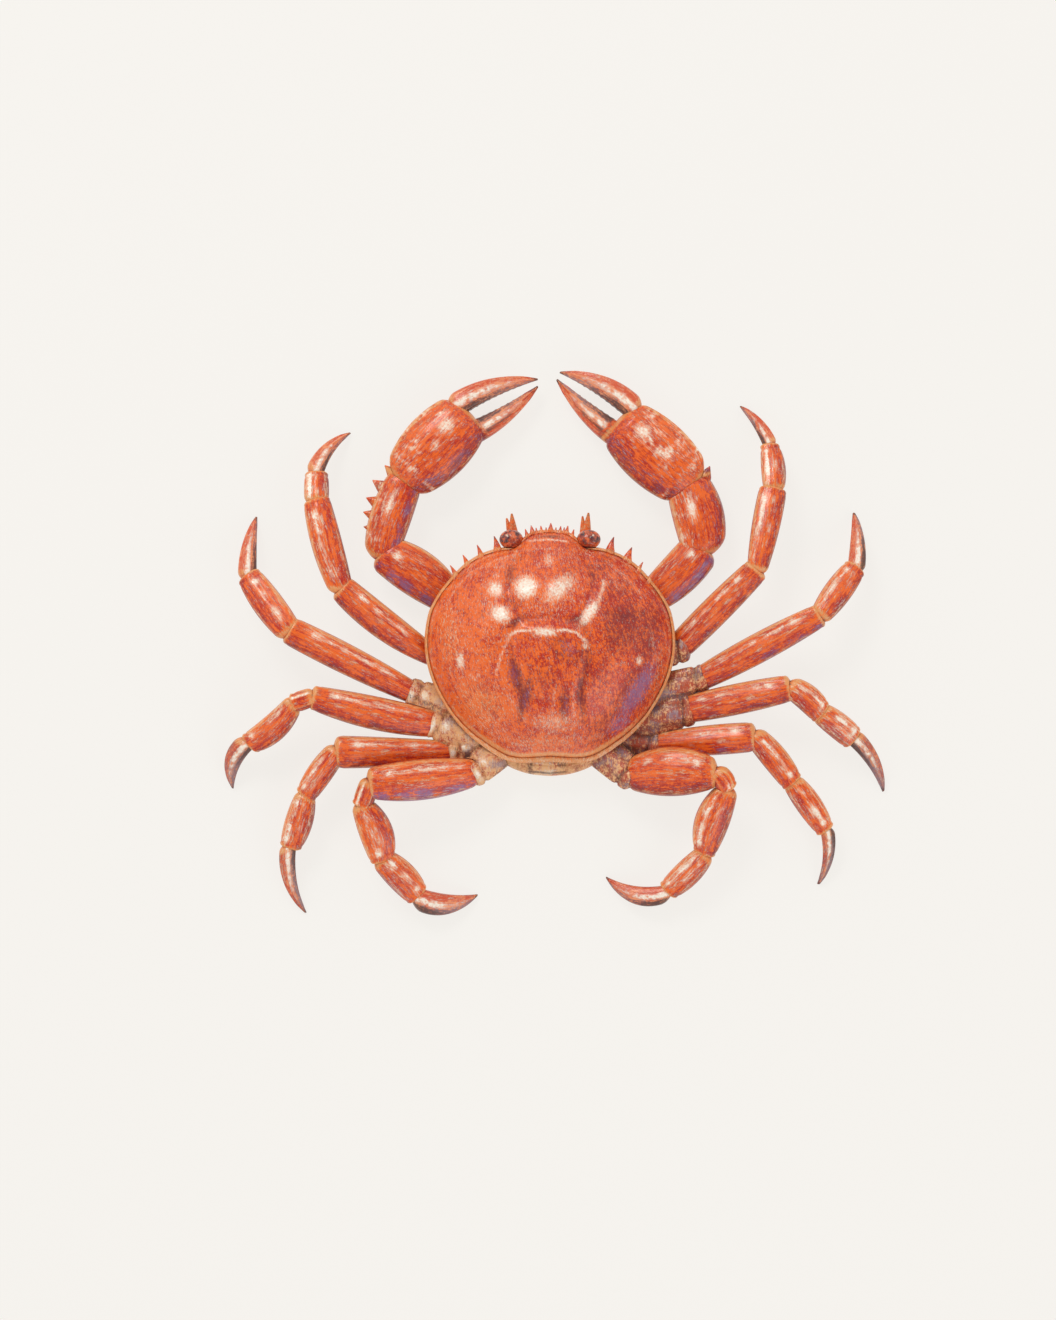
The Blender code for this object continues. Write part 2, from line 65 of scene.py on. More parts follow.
# Sizes of the shell
SHELL_SEAM_Z = 17.5
SHELL_RIM_Z = 21.0
SHELL_RIM_TILT = 2.5
SHELL_TOP_Z = 49.0
SHELL_ROLL = 1.4
SHELL_STEPS = (208, 116)
SHELL_UNDER_RINGS = 12
SHELL_BEAD_RINGS = 14
# Half outline seen from above: angle from +X in degrees, distance from the middle of the shell
SHELL_OUTLINE = (
    (-90, 55.9), (-82, 57), (-74, 58.9), (-68, 59.6), (-55, 58.8), (-36, 59.2), (-25, 59.8), (-16, 60.9),
    (-7, 62), (0, 62.8), (10, 63.4), (18, 63.8), (27, 62.8), (35, 61.6), (45, 61), (54, 59.6), (63, 57.4),
    (70, 55.2), (76, 57.6), (81, 60.2), (90, 60.4),
)
# Swellings of the back shell: x, y, reach across, reach along, height
SHELL_SWELLINGS = (
    (-12, 31, 8, 7.5, 2.3), (5, 31, 9, 8, 1.9), (-27, 29, 6, 5.5, 1.1), (27, 30, 6, 6, 1),
    (-25, 17, 6.5, 5, 1.2), (22, 22, 5, 9, 1.3), (-3, 10, 15, 3.2, 1.2), (0, -6, 14, 12, 1.5),
    (2, -34, 12, 7, 1.1), (-37, 2, 16, 24, 1.8), (37, 2, 16, 24, 1.8), (0, 46, 9, 5, 0.7),
)
# Grooves of the back shell: half width, depth, and the line each follows
SHELL_GROOVES = (
    (2.2, 1.1, ((-17, 17), (-9, 15), (0, 16), (9, 15), (15, 16))),
    (2.4, 1.2, ((-17, 17), (-21, 23), (-20, 36), (-17, 46))),
    (2.4, 1.2, ((15, 16), (20, 27), (21, 36), (18, 46))),
    (2.2, 1.2, ((-17, 14), (-20, 4), (-18, -8), (-14, -22), (-15, -36))),
    (2.2, 1.2, ((16, 12), (19, 4), (18, -8), (14, -22), (16, -36))),
    (1.8, 0.7, ((-11, -24), (0, -26), (10, -24))),
    (1.6, 0.6, ((-12, 52), (0, 53.5), (11, 52))),
    (2, 0.6, ((-24, 20), (-36, 16), (-46, 18))),
    (2, 0.6, ((24, 20), (36, 16), (46, 18))),
)
# Spines of the front and the sides: tip x, y and half width at the foot
FRONT_TEETH = (
    (-12.4, 60.6, 1.7), (-9.5, 62.4, 2.1), (-7, 61.2, 1.5), (-4.6, 62.2, 1.9), (-2, 61.4, 1.5),
    (0.4, 63.6, 2.2), (3, 61.4, 1.5), (5.4, 62, 1.9), (7.2, 61.4, 1.4), (9, 62.2, 2), (12, 60.4, 1.7),
)
SIDE_SPINES = (
    (-28, 57, 3), (-36.5, 52.6, 2.7), (-43.6, 47.6, 2.9), (-50, 42.4, 2.5),
    (32, 56.6, 3.2), (41, 51.4, 3.6), (46.5, 44, 2.6), (52, 38.2, 2.2),
)
SIDE_SPINE_LENGTH = 9.5

# Sizes of the body under the shell
BELLY_RINGS = (
    (0, 0), (0.25, 0), (0.52, 0), (0.66, 0), (0.72, 0.6), (0.77, 2.2), (0.82, 4.8), (0.85, 7.5),
    (0.87, 11), (0.87, 13.5), (0.86, 15.6), (0.84, 16.8), (0.80, 17.1), (0.45, 17.1), (0, 17.1),
)
BELLY_STEPS = (160, 84)
BELLY_REACH = 58.5
# Seams of the underside: how far forward each crosses the middle, and its slope outward
BELLY_SEAMS = ((-40, -0.25), (-28, -0.10), (-14, 0), (0, 0.12), (14, 0.25), (27, 0.5))
TAIL_LINE = (
    (-52, 15.2), (-57.5, 14.6), (-61.3, 11.8), (-61.8, 7.6), (-58, 3.4), (-50, 2), (-36, 2),
    (-22, 2), (-10, 2),
)
TAIL_HALF_WIDTHS = (19, 21.5, 22.3, 22, 20.5, 18, 13.5, 9.5, 5)
TAIL_THICKNESS = 3.0
TAIL_BOW = 0.0105
TAIL_POWER = 4.5
TAIL_SEAMS = (0.13, 0.34, 0.50, 0.64, 0.78, 0.90)

# Eyes, feelers and mouth plates, for the right side
EYE_CENTRE = (19.4, 55.4, 21.5)
EYE_RADII = (6, 4.9, 4.9)
EYE_LOOKS = (0.55, 0.05, 0.80)
CORNEA_FROM = 0.87
# Dark spots of an eye: x, y, reach across, reach along, turn in degrees, strength
EYE_SPOTS = (
    (16.4, 58.2, 1.3, 1.3, 0, 0.9), (24.2, 55.6, 1.2, 1.9, 0, 0.7), (19.4, 51.2, 4.4, 0.9, 0, 0.7),
    (17, 54.5, 0.7, 2.2, 20, 0.5), (20.5, 59.6, 2.6, 0.6, -20, 0.5),
)
FEELER_ROOT = (17.5, 50, 12.5)
FEELER_TIPS = {
    "left": ((-19.2, 68.6, 16), (-21.8, 66.4, 14)),
    "right": ((19.4, 69, 16), (16.4, 67.4, 14)),
}
FEELER_WIDTHS = ((6.5, 4.6, 0.9), (5.5, 4, 0.8))
MOUTH_CENTRE = (6.9, 46.6, 7.6)
MOUTH_RADII = (6.3, 4.4, 6.6)

# Limbs: each piece runs from the end of the one before it to its own end
Piece = namedtuple("Piece", "name end widths bow")
Limb = namedtuple("Limb", "name root hip pieces")
Shape = namedtuple("Shape", "start end widths bow flatness")

LEG_FLATNESS = 0.66
TIP_FLATNESS = 0.80
ROOT_FLATNESS = 0.72
CLAW_FLATNESS = 0.62
START_INSET = 0.30
END_REACH = 0.10
START_CAP = 0.9
END_CAP = 0.5
SECTION_POWER = 2.15

LEGS = (
    Limb("leg_left_1", (-46, -5, 10), (-58, -3.5, 9.5), (
        Piece("thigh", (-104.5, 31.5, 26), (9, 15.5, 13.5), 2),
        Piece("shin", (-117, 75.5, 20), (11.5, 15.5, 13), 1),
        Piece("foot", (-117.3, 89, 15), (11.5, 12.6, 11), 0),
        Piece("tip", (-101, 110, 1), (10, 6.8, 0.9), 3.2),
    )),
    Limb("leg_left_2", (-48, -28, 9.5), (-69, -21.5, 11.5), (
        Piece("thigh", (-130.5, 10, 28), (10.5, 15, 14), 0),
        Piece("shin", (-151.5, 37.5, 17), (12, 15.5, 11.5), 0.5),
        Piece("tip", (-148.5, 67.5, 1), (9.5, 7.6, 0.9), 1.4),
    )),
    Limb("leg_left_3", (-37.5, -45, 9), (-58, -37, 11), (
        Piece("thigh", (-119, -23.5, 26), (12.5, 16.8, 11.5), 1.2),
        Piece("knee", (-129, -27, 24), (8.8, 10, 9.5), 0),
        Piece("shin", (-151.5, -47, 14), (9, 13.8, 11), 2.6),
        Piece("tip", (-160.5, -70, 1), (10, 8.6, 0.9), -4.4),
    )),
    Limb("leg_left_4", (-32, -48, 9), (-49, -50.5, 9.5), (
        Piece("thigh", (-107, -51, 21.5), (9, 14.5, 16.5), 0.5),
        Piece("shin", (-123, -73.5, 16.5), (10, 13, 10), -0.6),
        Piece("foot", (-131, -99.5, 11), (9, 14, 9.8), 0.7),
        Piece("tip", (-123.5, -133, 1), (8.8, 6.8, 0.9), -3.8),
    )),
    Limb("leg_left_5", (-25, -50, 9), (-38, -61.5, 16), (
        Piece("thigh", (-90, -66.5, 30), (12, 20.5, 15), 0.8),
        Piece("knee", (-94, -78, 26), (9.5, 10.5, 10), 0),
        Piece("shin", (-84, -105.5, 17), (9.5, 17, 11.5), 2),
        Piece("foot", (-66.5, -124, 9), (10.5, 15.5, 11.5), 1),
        Piece("tip", (-36.5, -124, 1.2), (11.5, 10.6, 0.9), -4.4),
    )),
    Limb("leg_right_1", (48, -2.5, 9.5), (66, 2.5, 10.5), (
        Piece("thigh", (103.5, 40.5, 27), (13.5, 15, 12.5), 0),
        Piece("shin", (112, 81, 19), (9.5, 14, 13.8), 0),
        Piece("foot", (110.5, 103.5, 11), (9.5, 12.4, 8.2), -1),
        Piece("tip", (96.5, 123.5, 1), (7.6, 5.6, 0.8), -1.8),
    )),
    Limb("leg_right_2", (50, -22, 9.5), (76, -14.5, 11.5), (
        Piece("thigh", (135, 17.5, 28), (11.5, 15, 11.5), 0),
        Piece("shin", (153.5, 41.5, 17), (9.5, 14, 10.5), 0),
        Piece("tip", (154, 69.5, 1), (9, 7.2, 1.2), -1.3),
    )),
    Limb("leg_right_3", (45, -36, 9), (69, -30, 11), (
        Piece("thigh", (120, -19, 26), (13, 15.6, 13), 0),
        Piece("shin", (136, -32, 21.5), (10, 13.4, 11.5), 1.6),
        Piece("foot", (152.5, -44.5, 14), (10.5, 13.2, 12), 0.5),
        Piece("tip", (169, -71.5, 1), (9.4, 7, 1.2), 3),
    )),
    Limb("leg_right_4", (35, -45, 9), (53, -47.5, 9.5), (
        Piece("thigh", (102.5, -43.5, 21.5), (9.5, 15, 14.5), 0),
        Piece("shin", (122, -67, 17), (10, 13.4, 10.5), 1),
        Piece("foot", (139, -91, 11.5), (9.5, 13, 8.6), 0.6),
        Piece("tip", (136, -118.5, 1), (7.8, 5.4, 1.4), 2.9),
    )),
    Limb("leg_right_5", (25, -50, 9), (41, -62.5, 16), (
        Piece("thigh", (82.5, -61.5, 29), (13, 25, 13.5), 1.3),
        Piece("knee", (88.5, -70.5, 26.5), (9.5, 11, 10.5), 1.5),
        Piece("shin", (77.5, -102.5, 17), (9.5, 17.5, 9.5), -2),
        Piece("foot", (59, -121.5, 9), (9, 13.6, 9.8), 0.8),
        Piece("tip", (28.5, -115, 1.2), (9.4, 9.2, 0.8), 5.4),
    )),
)

CLAWS = (
    Limb("claw_left", (-40, 20, 8.8), (-53, 27.5, 8.8), (
        Piece("arm", (-84.5, 49, 12), (16, 24, 17.5), -1.5),
        Piece("wrist", (-72, 87, 13), (15.5, 21, 17), 1.5),
        Piece("palm", (-42, 118, 12.5), (20, 34.5, 25), 0),
        Piece("finger", (-6, 136.5, 10), (12.5, 9.8, 0.9), 3.4),
    )),
    Limb("claw_right", (40, 20, 8.8), (52, 27.5, 8.8), (
        Piece("arm", (76.5, 52, 12.5), (15.5, 21.5, 20), -1.5),
        Piece("wrist", (68.5, 85, 13), (19, 26, 20.5), -2),
        Piece("palm", (36, 114.5, 12.5), (23, 35, 25), 0),
        Piece("finger", (5, 140, 10), (12.5, 10.4, 0.9), -3.8),
    )),
)
FINGER_ROOTS = {"claw_left": (-47.5, 122, 13), "claw_right": (42, 120.5, 13)}
FIXED_FINGERS = {
    "claw_left": Shape((-43.5, 107.2, 11.5), (-6, 133, 8.5), (12.5, 9, 1), -2.4, TIP_FLATNESS),
    "claw_right": Shape((37, 105.8, 11.5), (3.5, 136.5, 8.5), (13, 9.6, 1), 1.9, TIP_FLATNESS),
}
# How far along a fixed finger it leaves the palm
FINGER_BARE_FROM = 9.5
# Low teeth where the fingers face each other
TOOTH_HEIGHT = 0.28
TOOTH_SPACING = 3.4
# How far along a palm its cross ridge lies
PALM_RIDGE_AT = 10.5
WRIST_SPINES = {
    "claw_left": (
        ((-76.5, 86.5), (-83, 92.8)), ((-82, 80.5), (-89.2, 85.4)), ((-85.5, 73.5), (-92.4, 76.6)),
        ((-86.5, 67), (-93.8, 69.4)), ((-86.8, 60.5), (-93.6, 62)), ((-86, 54.5), (-91.6, 55.2)),
    ),
    "claw_right": (((77.5, 86), (80.4, 92.4)), ((72.5, 89.5), (75, 95.6))),
}
WRIST_SPINE_LENGTH = 9.0
WRIST_SPINE_RADIUS = 5.4
WRIST_SPINE_Z = (13.0, 15.5)

# Sides round, rings along
LIMB_STEPS = {
    "thigh": (48, 64), "knee": (44, 36), "shin": (48, 56), "foot": (44, 48), "tip": (36, 56),
    "arm": (60, 60), "wrist": (60, 60), "palm": (84, 84), "finger": (44, 64), "root": (40, 40),
}
CAP_RINGS = 8
SPINE_STEPS = (14, 14)
ROOM_STEPS = (40, 44)

# Ridges along the limb pieces: angle round in degrees, width in degrees, height
RIDGES = {
    "thigh": ((38, 15, 1.0), (90, 13, 1.1), (142, 15, 1.0), (-90, 20, 0.6)),
    "knee": ((60, 18, 1.0), (120, 18, 1.0)),
    "shin": ((40, 15, 1.0), (90, 13, 1.0), (140, 15, 1.0)),
    "foot": ((45, 15, 1.0), (90, 13, 1.0), (135, 15, 1.0)),
    "tip": ((35, 16, 0.8), (90, 12, 1.0), (145, 16, 0.8)),
    "arm": ((30, 12, 1.2), (150, 12, 1.2), (90, 22, 0.5)),
    "wrist": ((35, 14, 0.9), (145, 14, 0.9)),
    "palm": ((22, 11, 1.3), (158, 11, 1.3), (90, 30, 0.3)),
    "finger": ((40, 14, 1.1), (90, 13, 1.2), (140, 14, 1.1)),
}

# Direction of the painted light: each limb piece gets painted highlights on the side towards it, and painted
# shade on the other
LIGHT_SIDE = Vector((-0.5, 0.86, 0)).normalized()

# Painted light on the back shell, highlights first, then shade and its violet tint: x, y, reach across,
# reach along, turn in degrees, strength
PAINTED_HIGHLIGHTS = (
    (-12, 31, 7, 6.8, 0, 1), (4.5, 30.5, 10.5, 6, 38, 0.84), (-27.2, 30.2, 4.8, 4.8, 0, 0.88),
    (-24.5, 17.8, 6, 4.8, -28, 0.98), (19.5, 18.5, 3.4, 9, -35, 0.92), (-2.5, 8.8, 7.2, 2.7, 0, 0.92),
    (-44.5, -5.5, 2.4, 5, 0, 0.85), (44.2, -5.5, 2, 2.8, 0, 0.78), (17.5, 2, 2.6, 2, -30, 0.65),
    (-0.5, 45, 3, 4.6, 0, 0.62), (2, -36, 13, 5.5, 0, 0.52), (-26.5, 37, 2.2, 2.2, 0, 0.5),
    (-2, 24, 17, 10, 10, 0.32), (-31, 22, 8, 14, 0, 0.26), (8, 46, 12, 6, 10, 0.24),
    (-46, 12, 7, 20, 12, 0.22), (-30, -36, 16, 6, -42, 0.22), (33, 33, 8, 3, -40, 0.3),
    (-22, 44, 14, 4, 25, 0.3),
)
# Painted highlights along ridges: half width, strength, and the line each follows
HIGHLIGHT_LINES = (
    (1.1, 0.80, ((-19.5, 7.5), (-16, 9.5), (-8, 9.6), (0, 9.4), (8, 9.8), (13, 8.5), (18, 4))),
    (1, 0.60, ((-19.5, 7.5), (-24.5, -3), (-27, -12))),
    (1.5, 0.72, ((27, 34), (23.5, 23), (16, 13))),
    (0.8, 0.7, ((-11, 54.4), (-1, 55.2), (9, 54.2))),
    (1.2, 0.42, ((-47, 31), (-39, 39), (-28, 44.5), (-16, 48))),
    (1, 0.4, ((-52, 17), (-50, 26), (-45, 34))),
    (1, 0.5, ((-40, -12), (-37, -14.5), (-35, -11.5))),
    (1, 0.4, ((-33, 6), (-30, 22), (-33, 33))),
    (1.1, 0.45, ((2, -21), (1, -34))),
    (1, 0.45, ((11, -22), (12, -33))),
    (1, 0.4, ((-21, -22), (-12, -36))),
    (1.4, 0.38, ((28, 44), (38, 36), (45, 28))),
    (0.9, 0.35, ((50, 10), (52, -2), (50, -12))),
    (1, 0.35, ((-38, -34), (-26, -44), (-10, -49))),
    (1, 0.35, ((-20, 49), (-6, 50.5), (10, 50), (20, 47))),
)
# Painted shade in the grooves and hollows, and towards the right
SHADE_PLACES = (
    (-17, -13, 3.6, 9, 12, 0.85), (-12, -22, 3.6, 11, -14, 0.85), (7, -27, 3, 9.5, -4, 0.88),
    (15.8, -22, 2.6, 10.5, 6, 0.7), (6, 0, 7, 10, 35, 0.66), (14, -2, 4, 8, -20, 0.6),
    (36, 12, 12, 16, -25, 0.78), (49, 8, 8, 20, -10, 0.66), (42, -20, 9, 24, -32, 0.62),
    (28, -38, 8, 16, -40, 0.52), (-18, 13.5, 7, 2.4, 25, 0.6), (14, 14, 6, 3.4, 0, 0.55),
    (26, 42, 5, 10, -35, 0.52), (-2, -12, 14, 12, 0, 0.42), (0, 56.6, 9, 1, 0, 0.9),
    (22, -10, 12, 14, 10, 0.42), (34, 28, 12, 12, 0, 0.5), (10, 38, 8, 5, 30, 0.36),
    (-20, 38, 3.6, 6, 20, 0.38), (-35, 24, 3, 9, 15, 0.26), (-30, -28, 8, 4, -40, 0.30),
    (-10, 47, 8, 2.4, 10, 0.34), (-16, 23, 4, 3, 0, 0.45), (-44, 22, 3, 12, 20, 0.24),
)
# Bluish tint of the painted shade
VIOLET_SHADE_PLACES = (
    (44, -20, 5.5, 20, -32, 0.95), (35, -36, 5, 10, -40, 0.8), (54, 2, 3.6, 14, -8, 0.35),
    (-18, -12, 2.8, 7, 10, 0.6), (38, 12, 9, 12, -20, 0.12), (15, -44, 6, 6, 35, 0.35),
    (9, 1, 4, 6, 35, 0.5), (-53, -18, 2, 12, 22, 0.45), (-2, -46, 12, 3, 0, 0.4),
    (46, 26, 5, 10, 30, 0.15), (-12, -24, 2.4, 8, -14, 0.5), (8, -28, 2.2, 8, 0, 0.5),
)
# Warmer, yellower places on the back shell
WARM_PLACES = (
    (-34, -26, 16, 12, -40, 0.42), (-50, 6, 6, 24, 8, 0.36), (-4, -46, 22, 5, 0, 0.36),
    (-30, 2, 8, 12, 0, 0.22), (54, -10, 3, 22, -10, 0.3), (30, -2, 7, 8, 0, 0.18),
)
# Tips and fingers: how red, dusky and violet each is
TIP_TONES = {
    "leg_left_1": (0.35, 0, 0.1), "leg_left_2": (0.55, 0, 0.1), "leg_left_3": (0.3, 0.40, 0.8),
    "leg_left_4": (0.42, 0.32, 0.5), "leg_left_5": (0.55, 0.1, 0.45), "leg_right_1": (0.45, 0.05, 0.3),
    "leg_right_2": (0.4, 0.1, 0.3), "leg_right_3": (0.42, 0.52, 0.8), "leg_right_4": (0.35, 0.46, 0.75),
    "leg_right_5": (0.8, 0.1, 0.2), "claw_left": (0.40, 0, 0.05), "claw_right": (0.32, 0, 0.2),
}
# Pieces with a stronger violet tint of painted shade along their shaded side than the plain one
BLUISH_PIECES = {
    ("leg_left_5", "thigh"): 1.25, ("leg_left_5", "shin"): 0.7, ("leg_left_5", "foot"): 0.8,
    ("leg_right_2", "thigh"): 0.7, ("leg_right_4", "thigh"): 0.7, ("claw_left", "arm"): 0.85,
    ("claw_left", "wrist"): 0.7, ("claw_right", "arm"): 1, ("claw_right", "wrist"): 0.6,
}
PALM_BLUISH, PLAIN_BLUISH = 0.55, 0.35
# Pieces of the claws with a painted highlight patch: its place along, its reach, and how much cream mottling
# the piece has around it, more on its lit side
HIGHLIGHT_AND_CREAM_PIECES = {"palm": (0.74, 0.11, 0.80), "wrist": (0.62, 0.20, 0.62), "arm": (0.82, 0.10, 0.25)}
# Leg pieces lightened a little all over their top, as painted light
TOP_LIT_PIECES = {"foot": 0.30, "shin": 0.15}
# Pieces with the smooth, dusky finish of the tips
BARE_PIECES = ("tip", "finger")
# Side of each finger that faces the other: 1 is its left as it points
INNER_SIDES = {"claw_left": -1, "claw_right": 1}

# Inputs of the shared shell effect, in the order of every finish
SHELL_COLOURS = ("Orange", "Red", "Dusk", "Violet", "Pale", "Rim")
SHELL_AMOUNTS = ("Streaks", "Mottle", "Chalk", "Grain")
# White of the brightest painted highlights, and the brown of the creases and dark ends, which also carries
# painted shade under and between parts
HIGHLIGHT_WHITE = (0.95, 0.86, 0.74, 1.0)
STAIN_AND_SHADE = (0.085, 0.036, 0.026, 1.0)


def colour_setting(label, what, default):
    return FloatVectorProperty(
        name=label, description=what, subtype="COLOR", size=3, min=0.0, max=1.0, default=default,
    )


def amount_setting(label, what, least, most, default, subtype="NONE", unit="NONE"):
    return FloatProperty(
        name=label, description=what, min=least, max=most, default=default, subtype=subtype, unit=unit,
    )


class CrabFinishSettings(bpy.types.PropertyGroup):
    """Colours and gloss of the cooked shell."""

    shell_orange: colour_setting("Orange", "Lighter colour of the cooked shell", (0.86, 0.145, 0.018))
    shell_red: colour_setting("Red", "Deeper colour of the cooked shell", (0.50, 0.020, 0.008))
    # Brown-red of the painted shade on the shell
    shell_dusk: colour_setting("Dusk", "Brown-red of the dusky places", (0.19, 0.018, 0.016))
    # Bluish tint of the painted shade on the shaded side
    shell_violet: colour_setting("Violet", "Bluish bloom on the shaded side", (0.26, 0.12, 0.28))
    # Pale of the flecks, and of the painted highlights on swellings, ridges and lit sides
    shell_pale: colour_setting("Pale", "Chalky places and ridges", (0.94, 0.66, 0.48))
    rim_cream: colour_setting("Rim", "Cream-orange of the rims and joint edges", (0.80, 0.37, 0.13))
    tip_brown: colour_setting("Tips", "Mauve-brown of the leg tips and fingers", (0.64, 0.082, 0.028))
    gloss: amount_setting("Gloss", "Strength of the moist coat over the shell", 0.0, 1.0, 0.32, "FACTOR")


class CrabShapeSettings(bpy.types.PropertyGroup):
    """Fine relief of the shell."""

    swelling: amount_setting("Swelling", "How strongly the back shell is moulded", 0.0, 2.0, 1.0)
    ridge_height: amount_setting(
        "Ridges", "Height of the ridges along the legs", 0.0, 0.001, 0.0006, "DISTANCE", "LENGTH",
    )
    joint_gap: amount_setting(
        "Joint gap", "Room between a piece and its socket", 0.0001, 0.001, 0.00035, "DISTANCE", "LENGTH",
    )


class CrabStageSettings(bpy.types.PropertyGroup):
    """Floor, lights and camera."""

    floor_colour: colour_setting("Floor", "Colour of the pale floor", (0.93, 0.905, 0.865))
    floor_glow: amount_setting(
        "Floor glow", "Light from under the pale floor, which keeps shadows faint", 0.0, 2.0, 0.87,
    )
    camera_height: amount_setting(
        "Camera height", "Height of the camera above the floor", 0.5, 5.0, 1.858, "DISTANCE", "LENGTH",
    )
    key_power: amount_setting("Key light", "Power of the main softbox", 0.0, 100.0, 20.5, "POWER", "POWER")
    sky_strength: amount_setting(
        "Surround", "Brightness of the pale room around the stage", 0.0, 2.0, 0.86,
    )


# Shaping helpers


def hump(value, at, width):
    """1 where the value is at its place, falling away softly on both sides."""
    return np.exp(-(((value - at) / width) ** 2))


def ramp(value, start, span):
    """0 before the start, rising to 1 over the span."""
    return np.clip((value - start) / span, 0, 1)


def rounded_square(wave, power):
    """A sine or cosine with its swings filled out, which squares off a round section."""
    return np.sign(wave) * np.abs(wave) ** (2 / power)


def waviness(points, size, height=1.0):
    """Gentle uneven relief with features of this size."""
    return np.array([noise.noise(Vector(point) / size) for point in points]) * height


def mirrored(point, sign):
    """The point on the right side for 1, on the left side for -1."""
    return (sign * point[0], *point[1:])


@functools.cache
def plain_ball(sides, rings):
    """A closed ball, with the ring number and the angle round of every vertex."""
    bm = bmesh.new()
    bmesh.ops.create_uvsphere(bm, u_segments=sides, v_segments=rings, radius=1.0)
    points = np.array([vertex.co for vertex in bm.verts])
    latitude = np.arcsin(np.clip(points[:, 2], -1.0, 1.0))
    ring = np.rint((latitude / math.pi + 0.5) * rings).astype(int)
    return bm, ring, np.arctan2(points[:, 1], points[:, 0])


def moulded(steps, mould):
    """A ball whose vertices are moved to the points that a mould gives for their rings and angles."""
    ball, ring, angle = plain_ball(*steps)
    bm = ball.copy()
    for vertex, point in zip(bm.verts, mould(ring, angle)):
        vertex.co = point
    bmesh.ops.recalc_face_normals(bm, faces=bm.faces)
    if bm.calc_volume(signed=True) < 0:
        bmesh.ops.reverse_faces(bm, faces=bm.faces)
    return bm


def ellipsoid(centre, radii, steps, grow=0.0):
    bm = bmesh.new()
    bmesh.ops.create_uvsphere(bm, u_segments=steps[0], v_segments=steps[1], radius=1.0)
    bmesh.ops.scale(bm, vec=[radius + grow for radius in radii], verts=bm.verts)
    bmesh.ops.translate(bm, vec=centre, verts=bm.verts)
    return bm


def middle_width(widths, share):
    """Width at a share of the way, by a curve through the start, middle and end widths."""
    start, middle, end = widths
    return (
        start * (1 - share) * (1 - 2 * share)
        + 4 * middle * share * (1 - share)
        + end * share * (2 * share - 1)
    )


def cap_share(distance, cap):
    """How far a rounded end has opened at this distance from it."""
    return np.sqrt(np.clip(1.0 - (1.0 - np.minimum(distance, cap) / cap) ** 2, 0.0, 1.0))


def piece_frame(shape, grow=0.0):
    """Start point, directions and length of a limb piece."""
    start, end = Vector(shape.start), Vector(shape.end)
    onward = (end - start).normalized()
    leftward = Vector((-onward.y, onward.x, 0.0)).normalized()
    upward = onward.cross(leftward)
    start = start - onward * grow
    length = (end - start).length
    return np.array(start), np.array(onward), np.array(leftward), np.array(upward), length


def piece_body(shape, steps, relief=None, grow=0.0):
    """A closed limb piece about a bowed line, with relief given in millimetres over its surface."""
    rings = steps[1]
    start, onward, leftward, upward, length = piece_frame(shape, grow)
    start_cap = min(START_CAP * (shape.widths[0] / 2 + grow), 0.45 * length)
    end_cap = min(END_CAP * (shape.widths[2] / 2 + grow), 0.45 * length)
    cap_rings = min(CAP_RINGS, rings // 4)
    bends = 1.0 - np.cos(0.5 * math.pi * np.arange(cap_rings) / cap_rings)
    distances = np.concatenate([
        start_cap * bends,
        np.linspace(start_cap, length - end_cap, rings - 2 * cap_rings + 1),
        length - end_cap * bends[::-1],
    ])

    def mould(ring, angle):
        distance = distances[ring]
        share = distance / length
        rounding = np.minimum(cap_share(distance, start_cap), cap_share(length - distance, end_cap))
        half_width = (0.5 * middle_width(shape.widths, share) + grow) * rounding
        cosine, sine = np.cos(angle), np.sin(angle)
        across, above = rounded_square(cosine, SECTION_POWER), rounded_square(sine, SECTION_POWER)
        extra = 0.0 if relief is None else relief(share, angle, distance, length) * rounding
        centre = start + np.outer(distance, onward) + np.outer(shape.bow * 4 * share * (1 - share), leftward)
        return (
            centre
            + np.outer(across * half_width + cosine * extra, leftward)
            - np.outer(above * half_width * shape.flatness + sine * extra, upward)
        )

    return moulded(steps, mould)


def piece_places(points, shape):
    """Where points lie on a limb piece: distance along, share along, and their offsets across and above."""
    start, onward, leftward, upward, length = piece_frame(shape)
    away = points - start
    distance = away @ onward
    share = np.clip(distance / length, 0.0, 1.0)
    across = away @ leftward - shape.bow * 4 * share * (1 - share)
    return distance, share, across, away @ upward, length


def half_across(shape, share):
    """Half the width of a limb piece, and never less than a fine tip's."""
    return np.maximum(0.5 * middle_width(shape.widths, share), 0.4)


def wrapped(angle):
    return np.angle(np.exp(1j * angle))


def ridged(height, ridges, collar=0.25):
    """Relief with ridges along a piece at these angles, and a raised collar before its blunt end."""

    def relief(share, angle, distance, length):
        along = np.clip(6 * share, 0, 1) * np.clip(7 * (1 - share), 0, 1)
        total = np.zeros(len(share))
        for at, width, amount in ridges:
            total += amount * hump(wrapped(angle + math.radians(at)), 0, math.radians(width))
        from_end = length - distance
        lip = collar * hump(from_end, 1.6, 0.9) - 0.8 * collar * hump(from_end, 3.6, 0.8)
        return height * total * along + lip

    return relief


def finger_relief(height, inner):
    """Ridges along a finger, and low rounded teeth on the side that faces the other finger."""
    along_finger = ridged(height, RIDGES["finger"], 0.0)

    def relief(share, angle, distance, length):
        facing = hump(wrapped(angle - (0.0 if inner > 0 else math.pi)), 0, 0.5)
        teeth = TOOTH_HEIGHT * np.clip(np.sin(2 * math.pi * distance / TOOTH_SPACING), 0, 1)
        teeth = teeth * np.clip(4 * (0.95 - share), 0, 1) * (share > 0.2)
        return along_finger(share, angle, distance, length) + teeth * facing

    return relief


def swellings(x, y, table):
    total = np.zeros(len(x))
    for centre_x, centre_y, across, along, height in table:
        total += height * np.exp(-(((x - centre_x) / across) ** 2) - ((y - centre_y) / along) ** 2)
    return total


